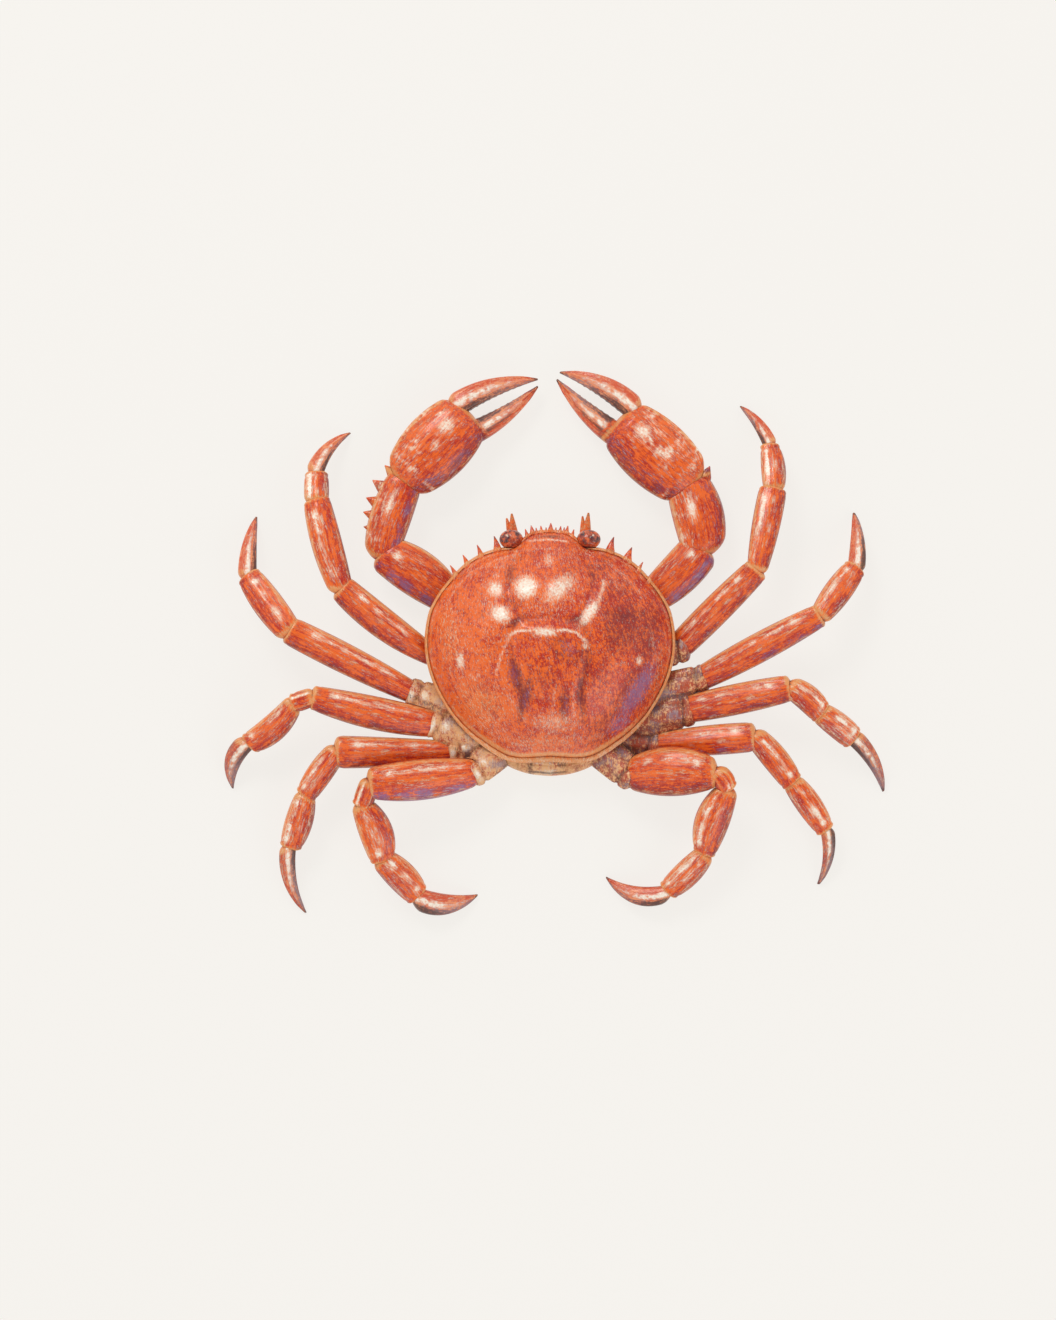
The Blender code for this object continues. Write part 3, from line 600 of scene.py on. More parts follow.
def line_distance(x, y, line):
    """Distance of each point from a broken line, seen from above."""
    best = np.full(len(x), 1e9)
    for (x0, y0), (x1, y1) in zip(line, line[1:]):
        length_squared = (x1 - x0) ** 2 + (y1 - y0) ** 2
        share = np.clip(((x - x0) * (x1 - x0) + (y - y0) * (y1 - y0)) / length_squared, 0.0, 1.0)
        best = np.minimum(best, np.hypot(x - x0 - share * (x1 - x0), y - y0 - share * (y1 - y0)))
    return best


def lines_mask(x, y, table):
    """Soft lines seen from above: each has a half width, a strength and its own course."""
    total = np.zeros(len(x))
    for width, strength, line in table:
        total = np.maximum(total, strength * hump(line_distance(x, y, line), 0, width))
    return total


def places_mask(x, y, table):
    """Soft patches: each is an oval seen from above, turned by its own angle."""
    total = np.zeros(len(x))
    for centre_x, centre_y, across, along, turn, strength in table:
        c, s = math.cos(math.radians(turn)), math.sin(math.radians(turn))
        u = (x - centre_x) * c + (y - centre_y) * s
        v = -(x - centre_x) * s + (y - centre_y) * c
        reach = (u / across) ** 2 + (v / along) ** 2
        total = np.maximum(total, strength * np.exp(-(reach**1.5)))
    return total


def loose_object(name, bm):
    """A plain object of this bmesh, in metres, for joining and cutting."""
    bmesh.ops.scale(bm, vec=(MM, MM, MM), verts=bm.verts)
    mesh = bpy.data.meshes.new(name)
    bm.to_mesh(mesh)
    bm.free()
    obj = bpy.data.objects.new(name, mesh)
    bpy.context.scene.collection.objects.link(obj)
    return obj


def volume_of(mesh):
    bm = bmesh.new()
    bm.from_mesh(mesh)
    volume = bm.calc_volume(signed=True)
    bm.free()
    return volume


def combine(target, others, operation):
    """One Boolean of the target with the others, applied; the others are then removed.

    The exact solver now and then loses the whole body. Its volume shows that, and the other solver
    takes over.
    """
    helper = bpy.data.collections.new("helper_" + target.name)
    bpy.context.scene.collection.children.link(helper)
    for other in others:
        bpy.context.scene.collection.objects.unlink(other)
        helper.objects.link(other)
    step = target.modifiers.new("combine", "BOOLEAN")
    step.operation = operation
    step.operand_type = "COLLECTION"
    step.collection = helper
    sign = 1 if operation == "UNION" else -1
    before = volume_of(target.data)
    most = sum(volume_of(other.data) for other in others)
    for solver in ("EXACT", "MANIFOLD"):
        step.solver = solver
        bpy.context.view_layer.update()
        shown = target.evaluated_get(bpy.context.evaluated_depsgraph_get())
        result = bpy.data.meshes.new_from_object(shown)
        if 0 < sign * (volume_of(result) - before) < most:
            break
    else:
        raise RuntimeError("no solver could make " + target.name)
    target.modifiers.clear()
    old = target.data
    target.data = result
    bpy.data.meshes.remove(old)
    for other in others:
        mesh = other.data
        bpy.data.objects.remove(other)
        bpy.data.meshes.remove(mesh)
    bpy.data.collections.remove(helper)


def mesh_points(obj):
    """Vertex positions of an object in millimetres."""
    flat = np.empty(len(obj.data.vertices) * 3)
    obj.data.vertices.foreach_get("co", flat)
    return flat.reshape(-1, 3) / MM


def move_points(obj, points):
    obj.data.vertices.foreach_set("co", (points * MM).ravel())


def store_paint(obj, flow, pale, dusk, rim, red, violet, stain_and_shade):
    """Keeps the six masks on the vertices as two colour layers, with coordinates that follow the growth."""
    for name, masks in (("paint", (pale, dusk, rim)), ("tone", (red, violet, stain_and_shade))):
        values = np.ones((len(flow), 4))
        for column, mask in enumerate(masks):
            values[:, column] = np.clip(mask, 0.0, 1.0)
        layer = obj.data.attributes.new(name, "FLOAT_COLOR", "POINT")
        layer.data.foreach_set("color", values.ravel())
    layer = obj.data.attributes.new("flow", "FLOAT_VECTOR", "POINT")
    layer.data.foreach_set("vector", np.ascontiguousarray(flow, dtype=np.float64).ravel())


def finish_piece(obj, node, material):
    """Shades the piece, gives it its material and puts it in the place of its node."""
    mesh = obj.data
    mesh.shade_smooth()
    mesh.set_sharp_from_angle(angle=math.radians(42))
    mesh.materials.clear()
    mesh.materials.append(bpy.data.materials[material])
    obj.name = mesh.name = "shell_" + node
    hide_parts(node)
    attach(obj, "root")


def spine(foot, tip, radius, bow=0.0):
    """A thin, slightly bent spine."""
    shape = Shape(tuple(foot), tuple(tip), (2 * radius, 1.05 * radius, 0.4), bow, 0.8)
    return loose_object("spine", piece_body(shape, SPINE_STEPS))


# Materials


def add_node(tree, kind, inputs, output=0, **settings):
    """A new node; each input is given by its name or number, as a socket or a value."""
    node = tree.nodes.new("ShaderNode" + kind)
    for name, value in settings.items():
        setattr(node, name, value)
    for key, value in inputs.items():
        if isinstance(value, bpy.types.NodeSocket):
            tree.links.new(value, node.inputs[key])
        else:
            node.inputs[key].default_value = value
    return node.outputs[output]


def mix_colour(tree, factor, first, second):
    return add_node(tree, "Mix", {0: factor, 6: first, 7: second}, 2, data_type="RGBA")


def mix_value(tree, factor, first, second):
    return add_node(tree, "Mix", {0: factor, 2: first, 3: second})


def math_node(tree, operation, *values, clamp=False):
    return add_node(tree, "Math", dict(enumerate(values)), operation=operation, use_clamp=clamp)


def ranged(tree, value, low, high, out_low=0.0, out_high=1.0):
    """The value eased from one range to another."""
    inputs = {"Value": value, "From Min": low, "From Max": high, "To Min": out_low, "To Max": out_high}
    return add_node(tree, "MapRange", inputs, interpolation_type="SMOOTHSTEP")


def noise_of(tree, vector, scale, detail=3.0, roughness=0.6):
    inputs = {"Vector": vector, "Scale": scale, "Detail": detail, "Roughness": roughness}
    return add_node(tree, "TexNoise", inputs, "Fac")


def stretched(tree, vector, scale):
    return add_node(tree, "VectorMath", {0: vector, 1: scale}, operation="MULTIPLY")


def patchy(tree, noise, mask, low, high, lift):
    """A mask broken up by noise: the higher the mask, the more of the noise it lets through."""
    return ranged(tree, math_node(tree, "MULTIPLY_ADD", mask, lift, noise), low, high)


def build_shell_group():
    """Colour with its painted light and shade, roughness and relief of cooked shell, shared by every shell
    material.
    """
    group = bpy.data.node_groups.new("cooked_shell", "ShaderNodeTree")
    for names, kind, way in (
        (SHELL_COLOURS, "Color", "INPUT"), (SHELL_AMOUNTS, "Float", "INPUT"),
        (("Color",), "Color", "OUTPUT"), (("Roughness", "Height"), "Float", "OUTPUT"),
    ):
        for name in names:
            group.interface.new_socket(name=name, in_out=way, socket_type="NodeSocket" + kind)
    given = group.nodes.new("NodeGroupInput").outputs
    made = group.nodes.new("NodeGroupOutput").inputs

    def layer(name):
        node = group.nodes.new("ShaderNodeAttribute")
        node.attribute_name = name
        return node.outputs

    def parts_of(name):
        node = group.nodes.new("ShaderNodeSeparateColor")
        group.links.new(layer(name)["Color"], node.inputs[0])
        return node.outputs

    def times(first, second):
        return math_node(group, "MULTIPLY", first, second)

    def plus(first, second, clamp=False):
        return math_node(group, "ADD", first, second, clamp=clamp)

    def share_of(noise, reach, amount):
        return times(ranged(group, noise, 0.30, 0.70, -reach, reach), amount)

    def livelier(noise, amount):
        return math_node(group, "MULTIPLY_ADD", noise, amount, 0.5 - 0.5 * amount)

    coords = add_node(group, "TexCoord", {}, "Object")
    flow = layer("flow")["Vector"]
    pale, dusk, rim = parts_of("paint")
    red, violet, stain_and_shade = parts_of("tone")

    blotch = noise_of(group, coords, 95.0)
    mottle = noise_of(group, coords, 330.0)
    speckle = noise_of(group, coords, 850.0, 2.0)
    grain = noise_of(group, coords, 1900.0, 2.0, 0.7)
    streak = noise_of(group, stretched(group, flow, (1.0, 1.0, 0.10)), 0.66)
    fine_streak = noise_of(group, stretched(group, flow, (1.0, 1.0, 0.14)), 1.40, 3.0, 0.65)

    redness = red
    for noise, reach, amount in (
        (blotch, 0.48, "Mottle"), (mottle, 0.58, "Mottle"), (streak, 0.55, "Streaks"),
        (fine_streak, 0.70, "Streaks"), (speckle, 0.75, "Mottle"),
    ):
        redness = plus(redness, share_of(noise, reach, given[amount]))
    colour = mix_colour(group, plus(redness, 0.0, clamp=True), given["Orange"], given["Red"])

    broken = livelier(mix_value(group, 0.55, streak, mix_value(group, 0.55, mottle, speckle)), 1.7)
    fine_broken = livelier(mix_value(group, 0.36, fine_streak, mix_value(group, 0.5, speckle, grain)), 1.7)
    # Painted shade, broken up by the streaks and mottle; the same layer also holds dark marks of the shell
    # itself
    shade_patches = patchy(group, mix_value(group, 0.5, broken, fine_broken), dusk, 0.55, 1.02, 0.42)
    # Painted highlights, broken up by the fine streaks
    highlight_patches = patchy(group, fine_broken, pale, 0.58, 1.05, 0.50)
    unshaded = math_node(group, "SUBTRACT", 1.0, dusk, clamp=True)
    flecks = times(ranged(group, fine_broken, 0.50, 0.86), given["Chalk"])
    # Over the base colour in turn: painted shade, its violet tint, cream rims, pale flecks, painted
    # highlights and their whitest cores, then dark creases and ends with painted shade
    for mask, strength, over in (
        (shade_patches, 0.95, given["Dusk"]),
        (patchy(group, fine_broken, violet, 0.62, 1.0, 0.42), 0.85, given["Violet"]),
        (patchy(group, fine_broken, rim, 0.60, 1.0, 0.52), 0.9, given["Rim"]),
        (flecks, unshaded, given["Pale"]),
        (highlight_patches, 0.92, given["Pale"]),
        (patchy(group, speckle, pale, 1.0, 1.36, 0.80), 1.0, HIGHLIGHT_WHITE),
        (patchy(group, fine_broken, stain_and_shade, 0.60, 1.05, 0.52), 0.88, STAIN_AND_SHADE),
    ):
        colour = mix_colour(group, times(mask, strength), colour, over)
    group.links.new(colour, made["Color"])
    roughness = plus(ranged(group, speckle, 0.25, 0.75, 0.32, 0.50), times(highlight_patches, 0.12))
    group.links.new(roughness, made["Roughness"])

    granules = add_node(
        group, "TexVoronoi", {"Vector": coords, "Scale": 700.0, "Smoothness": 0.5}, "Distance",
        feature="SMOOTH_F1",
    )
    height = ranged(group, granules, 0.0, 0.7, 0.5, 0.0)
    for noise, amount in ((grain, 0.35), (fine_streak, 0.9)):
        height = plus(height, times(noise, amount))
    group.links.new(times(height, given["Grain"]), made["Height"])
    return group


def shell_material(name, group, recipe):
    """One finish: the shared shell effect with its own colours and amounts, then coat and bump."""
    material = bpy.data.materials.new(name)
    material.use_nodes = True
    tree = material.node_tree
    shader = tree.nodes["Principled BSDF"].inputs
    effect = tree.nodes.new("ShaderNodeGroup")
    effect.node_tree = group
    *given, coat, bump = recipe
    for socket, value in zip(effect.inputs, given):
        socket.default_value = value if socket.type == "VALUE" else (*value[:3], 1.0)
    relief = {"Height": effect.outputs["Height"], "Strength": bump, "Distance": 0.00018}
    for value, socket in (
        (effect.outputs["Color"], "Base Color"), (effect.outputs["Roughness"], "Roughness"),
        (add_node(tree, "Bump", relief), "Normal"),
    ):
        tree.links.new(value, shader[socket])
    shader["Coat Weight"].default_value = coat
    shader["Coat Roughness"].default_value = 0.14
    shader["Specular IOR Level"].default_value = 0.28


def build_materials(finish):
    """Every finish: its six colours, then its streaks, mottle, flecks, grain, coat and bump."""
    rim = finish.rim_cream
    shell = [getattr(finish, "shell_" + name) for name in ("orange", "red", "dusk", "violet", "pale")]
    recipes = {
        "back_shell": (*shell, rim, 1.0, 0.75, 0.80, 0.8, finish.gloss, 0.5),
        "limb_shell": (*shell, rim, 0.85, 0.38, 0.30, 0.7, finish.gloss, 0.5),
        "tip_shell": (
            (0.84, 0.30, 0.14), finish.tip_brown, (0.13, 0.055, 0.05), (0.30, 0.19, 0.22),
            (0.90, 0.72, 0.60), rim, 0.9, 0.4, 0.45, 0.7, 0.25, 0.5,
        ),
        "under_shell": (
            (0.80, 0.44, 0.21), (0.52, 0.085, 0.035), (0.15, 0.06, 0.045), (0.30, 0.23, 0.30),
            (0.92, 0.80, 0.62), (0.78, 0.38, 0.14), 1.1, 1.1, 0.4, 0.6, 0.2, 0.6,
        ),
        "eye": (
            (0.74, 0.13, 0.03), (0.36, 0.035, 0.014), (0.016, 0.013, 0.030), (0.04, 0.04, 0.11),
            (0.90, 0.66, 0.46), rim, 0.3, 0.9, 0.12, 0.5, 0.8, 0.3,
        ),
    }
    group = build_shell_group()
    for name, recipe in recipes.items():
        shell_material(name, group, recipe)


# Back shell


def shell_edge(x, y):
    """Distance from the middle of the back shell to its edge, towards each point."""
    angles = np.radians(np.arange(-90.0, 90.5, 0.5))
    table = np.array(SHELL_OUTLINE)
    edge = np.interp(np.degrees(angles), table[:, 0], table[:, 1])
    kernel = np.hanning(15)
    edge = np.convolve(np.pad(edge, 7, mode="reflect"), kernel / kernel.sum(), mode="valid")
    return np.interp(np.arctan2(y, np.abs(x)), angles, edge)


def bead_width(y, edge):
    """The pale bead along the edge is narrow, and widest at the back."""
    return 1.5 + 2.6 * np.clip(-(y / edge) - 0.55, 0.0, 1.0)


def back_shell_body(strength):
    """A flat underside, the rolled bead along the edge, and the dome with its swellings and grooves."""
    dome_rings = SHELL_STEPS[1] - SHELL_UNDER_RINGS - SHELL_BEAD_RINGS

    def mould(ring, angle):
        facing_x, facing_y = np.cos(angle), np.sin(angle)
        edge = shell_edge(facing_x, facing_y)
        rim_z = SHELL_RIM_Z + SHELL_RIM_TILT * facing_y
        bead = bead_width(edge * facing_y, edge)
        turn = (ring - SHELL_UNDER_RINGS) / SHELL_BEAD_RINGS
        under, dome = turn <= 0, turn > 1
        swing = math.pi * turn - math.pi / 2
        rolled = edge - SHELL_ROLL + SHELL_ROLL * np.cos(swing) - turn * (bead - SHELL_ROLL) * (turn > 0.5)
        rolled_z = SHELL_SEAM_Z + (rim_z + 0.7 - SHELL_SEAM_Z) / 2 * (1 + np.sin(swing))

        fall = (ring - SHELL_UNDER_RINGS - SHELL_BEAD_RINGS) / dome_rings
        inner = edge - bead
        share = np.cos(0.5 * math.pi * np.maximum(fall, 0.0))
        reach = np.where(dome, share * inner, rolled)
        reach = np.where(under, ring / SHELL_UNDER_RINGS * (edge - SHELL_ROLL), reach)
        x, y = reach * facing_x, reach * facing_y
        rise = (1.0 - np.minimum(share, 1.0) ** 2.5) ** 0.8
        relief = swellings(x, y, SHELL_SWELLINGS) - lines_mask(x, y, SHELL_GROOVES)
        base = rim_z + 0.15 - 0.5 * hump(inner, reach, 0.8)
        dome_z = base + (SHELL_TOP_Z - rim_z - 0.3) * rise + strength * relief * np.minimum(1.0, 3 * rise)
        z = np.where(under, SHELL_SEAM_Z, np.where(dome, dome_z, rolled_z))
        points = np.column_stack([x, y, z])
        wobble = waviness(points, 9.0, 0.25) + waviness(points, 3.2, 0.10)
        points[:, 2] += np.where(dome, wobble, 0.0)
        return points

    return moulded(SHELL_STEPS, mould)


def build_back_shell(shape):
    """The back shell with its front teeth, side spines and eye sockets."""
    shell = loose_object("back_shell_piece", back_shell_body(shape.swelling))
    spines = []
    for x, y, radius in FRONT_TEETH:
        tip = Vector((x, y, SHELL_RIM_Z + SHELL_RIM_TILT - 0.4))
        spines.append(spine(tip + Vector((-0.12 * x, -5.2, 0.5)), tip, radius))
    for x, y, radius in SIDE_SPINES:
        tip = Vector((x, y, SHELL_RIM_Z + SHELL_RIM_TILT - 0.2))
        inward = Vector((-0.35 * x, -0.9 * y, 0.0)).normalized()
        spines.append(spine(tip + inward * SIDE_SPINE_LENGTH, tip, radius, math.copysign(0.5, x)))
    combine(shell, spines, "UNION")
    gap = shape.joint_gap / MM
    sockets = [
        loose_object("socket", ellipsoid(mirrored(EYE_CENTRE, sign), EYE_RADII, (40, 28), gap))
        for sign in (-1, 1)
    ]
    combine(shell, sockets, "DIFFERENCE")
    paint_back_shell(shell)
    finish_piece(shell, "back_shell", "back_shell")


def paint_back_shell(shell):
    """Painted highlights on the swellings and ridges, painted shade in the grooves and towards the right, a
    cream rim, and redder towards the right, partly as painted shade.
    """
    points = mesh_points(shell)
    x, y, z = points.T
    radius, edge = np.hypot(x, y), shell_edge(x, y)
    inside, bead = edge - radius, bead_width(y, edge)
    rough = waviness(points, 5.0)
    behind = ramp(-y, 22.5, 25)
    rim = (0.88 + 0.25 * waviness(points, 2.0)) * np.exp(-((inside / (bead + 0.4)) ** 6))
    rim = np.maximum(rim, (0.40 + 0.45 * behind) * hump(inside - bead, 1.6, 0.8 + 0.9 * behind))
    rim = rim * (1 - 0.88 * ramp(-inside, -0.1, 0.7)) * (1 - 0.35 * ramp(y, 52, 2))
    rim = np.maximum(rim, places_mask(x, y, WARM_PLACES))

    # Painted highlights on the swellings and ridges, random paler mottling at the front and back, and a
    # cream band along the rear bead
    pale = np.maximum(places_mask(x, y, PAINTED_HIGHLIGHTS), lines_mask(x, y, HIGHLIGHT_LINES))
    pale = np.maximum(pale, 0.30 * np.clip(2.2 * rough, 0, 1) * ramp(y, 26, 14))
    pale = np.maximum(pale, 0.30 * np.clip(2.2 * rough + 0.2, 0, 1) * ramp(-y, 30, 10))
    pale = pale * ramp(z, 22, 3) + 0.38 * behind * np.exp(-((inside / bead) ** 6))

    # Painted shade: towards the right and back, in the listed places and the grooves, in the hollow inside
    # the bead, and along the very edge
    dusk = 0.22 * ramp(0.8 * x - 0.6 * y, 15, 60) + places_mask(x, y, SHADE_PLACES)
    dusk += 0.35 * lines_mask(x, y, SHELL_GROOVES) * (inside > 5)
    dusk += (0.42 - 0.5 * behind) * hump(inside - bead, 0.4, 0.45)
    dusk += 0.5 * np.clip(1 - np.abs(inside + 0.1) / 0.5, 0, 1) * (1 - 0.7 * behind)

    # Redder towards the right, partly as painted shade
    red = 0.50 + 0.0062 * x + 0.20 * hump(x, 25, 30) * hump(y, 12, 30) + 0.14 * rough
    # Painted shade on the underside of the shell and under its edge
    under = (z < SHELL_SEAM_Z + 0.5) & (inside > 1.5)
    stain_and_shade = 0.4 * under + 0.6 * ramp(-inside, 2.6, 2.0)
    meridian = x / np.sqrt(np.clip(1.0 - (y / 70.0) ** 2, 0.12, 1.0))
    flow = np.column_stack([1.5 * meridian + 0.3 * y, 0.35 * z, 3.2 * y - 0.8 * x])
    store_paint(shell, flow, pale, dusk, rim, red, places_mask(x, y, VIOLET_SHADE_PLACES), stain_and_shade)


# Body under the shell


def limb_ends(joint_before, piece, flatness):
    """The true shape of a piece: it starts inside the piece before it and reaches past its own joint."""
    start, end = Vector(joint_before), Vector(piece.end)
    onward = (end - start).normalized()
    reach = 0.0 if piece.widths[2] < 2.0 else END_REACH * piece.widths[2]
    return Shape(
        tuple(start - onward * START_INSET * piece.widths[0]), tuple(end + onward * reach),
        piece.widths, piece.bow, flatness,
    )


def limb_shapes(limb):
    """The pieces of a limb with the true shape of each."""
    joint = limb.hip
    made = []
    for piece in limb.pieces:
        flatness = CLAW_FLATNESS if limb in CLAWS else LEG_FLATNESS
        if piece.name in BARE_PIECES:
            flatness = TIP_FLATNESS
        if piece.name == "finger":
            joint = FINGER_ROOTS[limb.name]
        made.append((piece, limb_ends(joint, piece, flatness)))
        joint = piece.end
    return made


def root_shape(limb):
    """The pale root that carries a limb, from inside the body to the limb's first piece."""
    start, end = Vector(limb.root), Vector(limb.hip)
    onward = (end - start).normalized()
    width = limb.pieces[0].widths[0] + 3.0
    return Shape(
        tuple(start - onward * 6.0), tuple(end + onward * 0.28 * width),
        (width * 1.15, width * 1.1, width), 0.0, ROOT_FLATNESS,
    )


def root_relief(share, angle, distance, length):
    """Two rings of the limb root with a crease between them, and folds along its top."""
    from_end = length - distance
    crease = -1.1 * hump(from_end + 1.2 * np.cos(angle), 6.5, 0.9)
    lip = 0.3 * hump(from_end, 2.0, 1.3)
    folds = 0.5 * np.cos(5 * angle + 0.10 * distance) * np.clip(4 * share, 0, 1)
    return crease + lip + folds * np.clip(0.3 + from_end / 8, 0, 1)


def along_line(points, share):
    """Points at these shares of the way along a Catmull-Rom curve."""
    points = np.asarray(points, dtype=float)
    spans = len(points) - 1
    spot = np.clip(share, 0.0, 1.0) * spans
    span = np.minimum(spot.astype(int), spans - 1)
    u = (spot - span)[:, None]
    before, first = points[np.maximum(span - 1, 0)], points[span]
    second, after = points[span + 1], points[np.minimum(span + 2, spans)]
    return 0.5 * (
        2 * first + (second - before) * u + (2 * before - 5 * first + 4 * second - after) * u * u
        + (3 * first - before - 3 * second + after) * u * u * u
    )


def tail_body(steps, grow=0.0, seams=TAIL_SEAMS):
    """The tail flap: a thick strip wrapped round the back of the body and laid along the belly."""
    course = [(0.0, y, z) for y, z in TAIL_LINE]

    def mould(ring, angle):
        share = ring / steps[1]
        line, ahead, behind = (along_line(course, share + step) for step in (0.0, 0.01, -0.01))
        onward = ahead - behind
        onward /= np.linalg.norm(onward, axis=1)[:, None]
        outward = np.column_stack([np.zeros(len(share)), -onward[:, 2], onward[:, 1]])
        half_width = along_line([(w, 0.0, 0.0) for w in TAIL_HALF_WIDTHS], share)[:, 0] + grow
        half_thick = np.full(len(share), TAIL_THICKNESS / 2 + grow)
        closing = np.sqrt(np.clip(1 - (2 * share - 1) ** 16, 0, 1))
        for seam in seams:
            half_thick -= 0.45 * hump(share, seam, 0.010)
            half_width -= 0.5 * hump(share, seam, 0.012)
        above = rounded_square(np.sin(angle), TAIL_POWER) * half_thick * closing
        points = line + outward * above[:, None]
        points[:, 0] += rounded_square(np.cos(angle), TAIL_POWER) * half_width * closing
        points[:, 1] += TAIL_BOW * points[:, 0] ** 2 * ramp(-points[:, 1], 52.0, 5.0)
        return points

    return moulded(steps, mould)


def belly_body():
    """The body, with the seams between its plates on the underside."""

    def mould(ring, angle):
        shares, heights = np.array(BELLY_RINGS).T
        at = ring / BELLY_STEPS[1] * (len(BELLY_RINGS) - 1)
        index = np.arange(len(BELLY_RINGS))
        share, z = np.interp(at, index, shares), np.interp(at, index, heights)
        facing_x, facing_y = np.cos(angle), np.sin(angle)
        reach = np.minimum(BELLY_REACH, shell_edge(facing_x, facing_y)) * share
        x, y = reach * facing_x, reach * facing_y
        seams = 0.6 * hump(x, 0, 0.9) * (y > -8) * (y < 30)
        for centre_y, slope in BELLY_SEAMS:
            seam = hump(y - centre_y, slope * np.abs(x), 1.0) * ramp(np.abs(x), 4, 6)
            seams = np.maximum(seams, seam)
        return np.column_stack([x, y, z + np.where(z < 8, 0.75 * seams, 0.0)])

    return moulded(BELLY_STEPS, mould)


def build_belly(shape):
    """The body with its limb roots, and room for the tail flap, the mouth plates and the limbs."""
    gap = shape.joint_gap / MM
    belly = loose_object("belly_piece", belly_body())
    roots = [piece_body(root_shape(limb), LIMB_STEPS["root"], root_relief) for limb in CLAWS + LEGS]
    combine(belly, [loose_object("root", root) for root in roots], "UNION")
    rooms = [tail_body((36, 60), gap, seams=())]
    for sign in (-1, 1):
        rooms.append(ellipsoid(mirrored(MOUTH_CENTRE, sign), MOUTH_RADII, (32, 24), gap))
    for limb in CLAWS + LEGS:
        rooms.append(piece_body(limb_shapes(limb)[0][1], ROOM_STEPS, None, gap))
    for room in rooms:
        combine(belly, [loose_object("room", room)], "DIFFERENCE")
    paint_belly(belly)
    finish_piece(belly, "belly", "under_shell")


def paint_belly(belly):
    """Painted shade in the creases, folds and hollows of the limb roots, painted highlights on their
    knuckles, redder and darker on the right, and a pale underside.
    """
    points = mesh_points(belly)
    x, y, z = points.T
    blotch, fine = waviness(points, 6.0), waviness(points, 2.2)
    creases, stain_and_shade, knuckles, folds = (np.zeros(len(x)) for _ in range(4))
    closest = np.full(len(x), 9.0)
    for limb in CLAWS + LEGS:
        distance, _, across, above, length = piece_places(points, root_shape(limb))
        half = limb.pieces[0].widths[0] / 2 + 1.5
        off = np.hypot(across / half, above / (half * ROOT_FLATNESS))
        from_end = length - distance
        on_root = (off < 1.4) & (distance > 3)
        closest = np.minimum(closest, np.where(distance > 3, off, 9.0))
        creases = np.maximum(creases, on_root * hump(from_end + 1.2 * across / half, 6.5, 1.0))
        # Dark at each root's joint with its limb, partly painted shade, and painted shade along its sides
        stain_and_shade = np.maximum(stain_and_shade, on_root * 0.7 * hump(from_end, 0, 1.1))
        stain_and_shade = np.maximum(stain_and_shade, 0.5 * on_root * ramp(np.abs(across) / half, 0.80, 0.2))
        fold = np.cos(5 * np.arctan2(-above / ROOT_FLATNESS, across) + 0.10 * distance)
        folds = np.where(on_root & (off > 0.8), np.maximum(folds, -fold), folds)
        # The tops of the knob and of the body of each root get painted highlights
        knob = hump(from_end, 3.2, 1.6) * hump(across, 0.2 * half, 0.42 * half)
        body = hump(from_end, 9.5, 2.4) * hump(across, -0.1 * half, 0.40 * half)
        knuckles = np.maximum(knuckles, on_root * (above > 0) * np.maximum(knob, 0.8 * body))
    outer = ramp(np.hypot(x, y), 50, 8)
    left, right = ramp(-x, 5, 30) * outer, ramp(x, 5, 30) * outer
    hollow = ramp(closest, 1.15, 0.5) * outer
    under = z < 1.0
    # Painted shade in the creases, folds and hollows; darker towards the right
    dusk = 0.10 + 0.30 * blotch + 0.5 * creases + 0.30 * right + 0.35 * hollow + 0.35 * folds
    dusk = np.where(under, 0.05 + 0.2 * np.clip(blotch, 0, 1), dusk)
    # Painted highlights on the knuckles, paler roots on the left, and a pale underside
    pale = 0.8 * knuckles * (1 - 0.85 * right) + 0.15 * under + 0.22 * left * np.clip(1 - 2 * creases, 0, 1)
    store_paint(
        belly, np.column_stack([x, z, y]), pale, dusk, rim=0.35 + 0.4 * fine - 0.35 * right,
        red=0.30 + 0.6 * fine + 0.8 * right + 0.25 * creases, violet=(0.35 + 0.9 * blotch) * outer,
        stain_and_shade=np.where(under, 0, stain_and_shade + 0.5 * hollow),
    )


def build_tail_flap():
    """The tail flap, with the panel and the lines that show on it behind the back shell."""
    tail = loose_object("tail_piece", tail_body((72, 150)))
    points = mesh_points(tail)
    x, y, z = points.T
    fine = waviness(points, 3.0)
    back = y - TAIL_BOW * x**2
    behind = (back < -56) & (z > 6)
    panel = behind * np.exp(-(((x + 1.5) / 7.6) ** 8))
    cross_line = hump(back, -61.9, 0.7) * (np.abs(x) < 9)
    line = behind * np.maximum(hump(np.abs(x + 1.5), 8.4, 0.6), cross_line)
    fine_line = behind * hump(np.abs(x + 1.0), 15.0, 0.5)
    dusk = 0.16 + 0.3 * fine + 0.7 * line + 0.4 * fine_line + 0.30 * behind * (np.abs(x) > 9)
    store_paint(
        tail, np.column_stack([x, z, y]), 0.40 * panel * (1 + fine), np.where(behind, dusk, 0.1),
        rim=0.5 + 0.4 * fine - 0.3 * panel, red=0.35 + 0.4 * fine + 0.3 * fine_line,
        violet=0.30 * behind, stain_and_shade=0.75 * line + 0.4 * fine_line,
    )
    finish_piece(tail, "tail_flap", "under_shell")


# Face


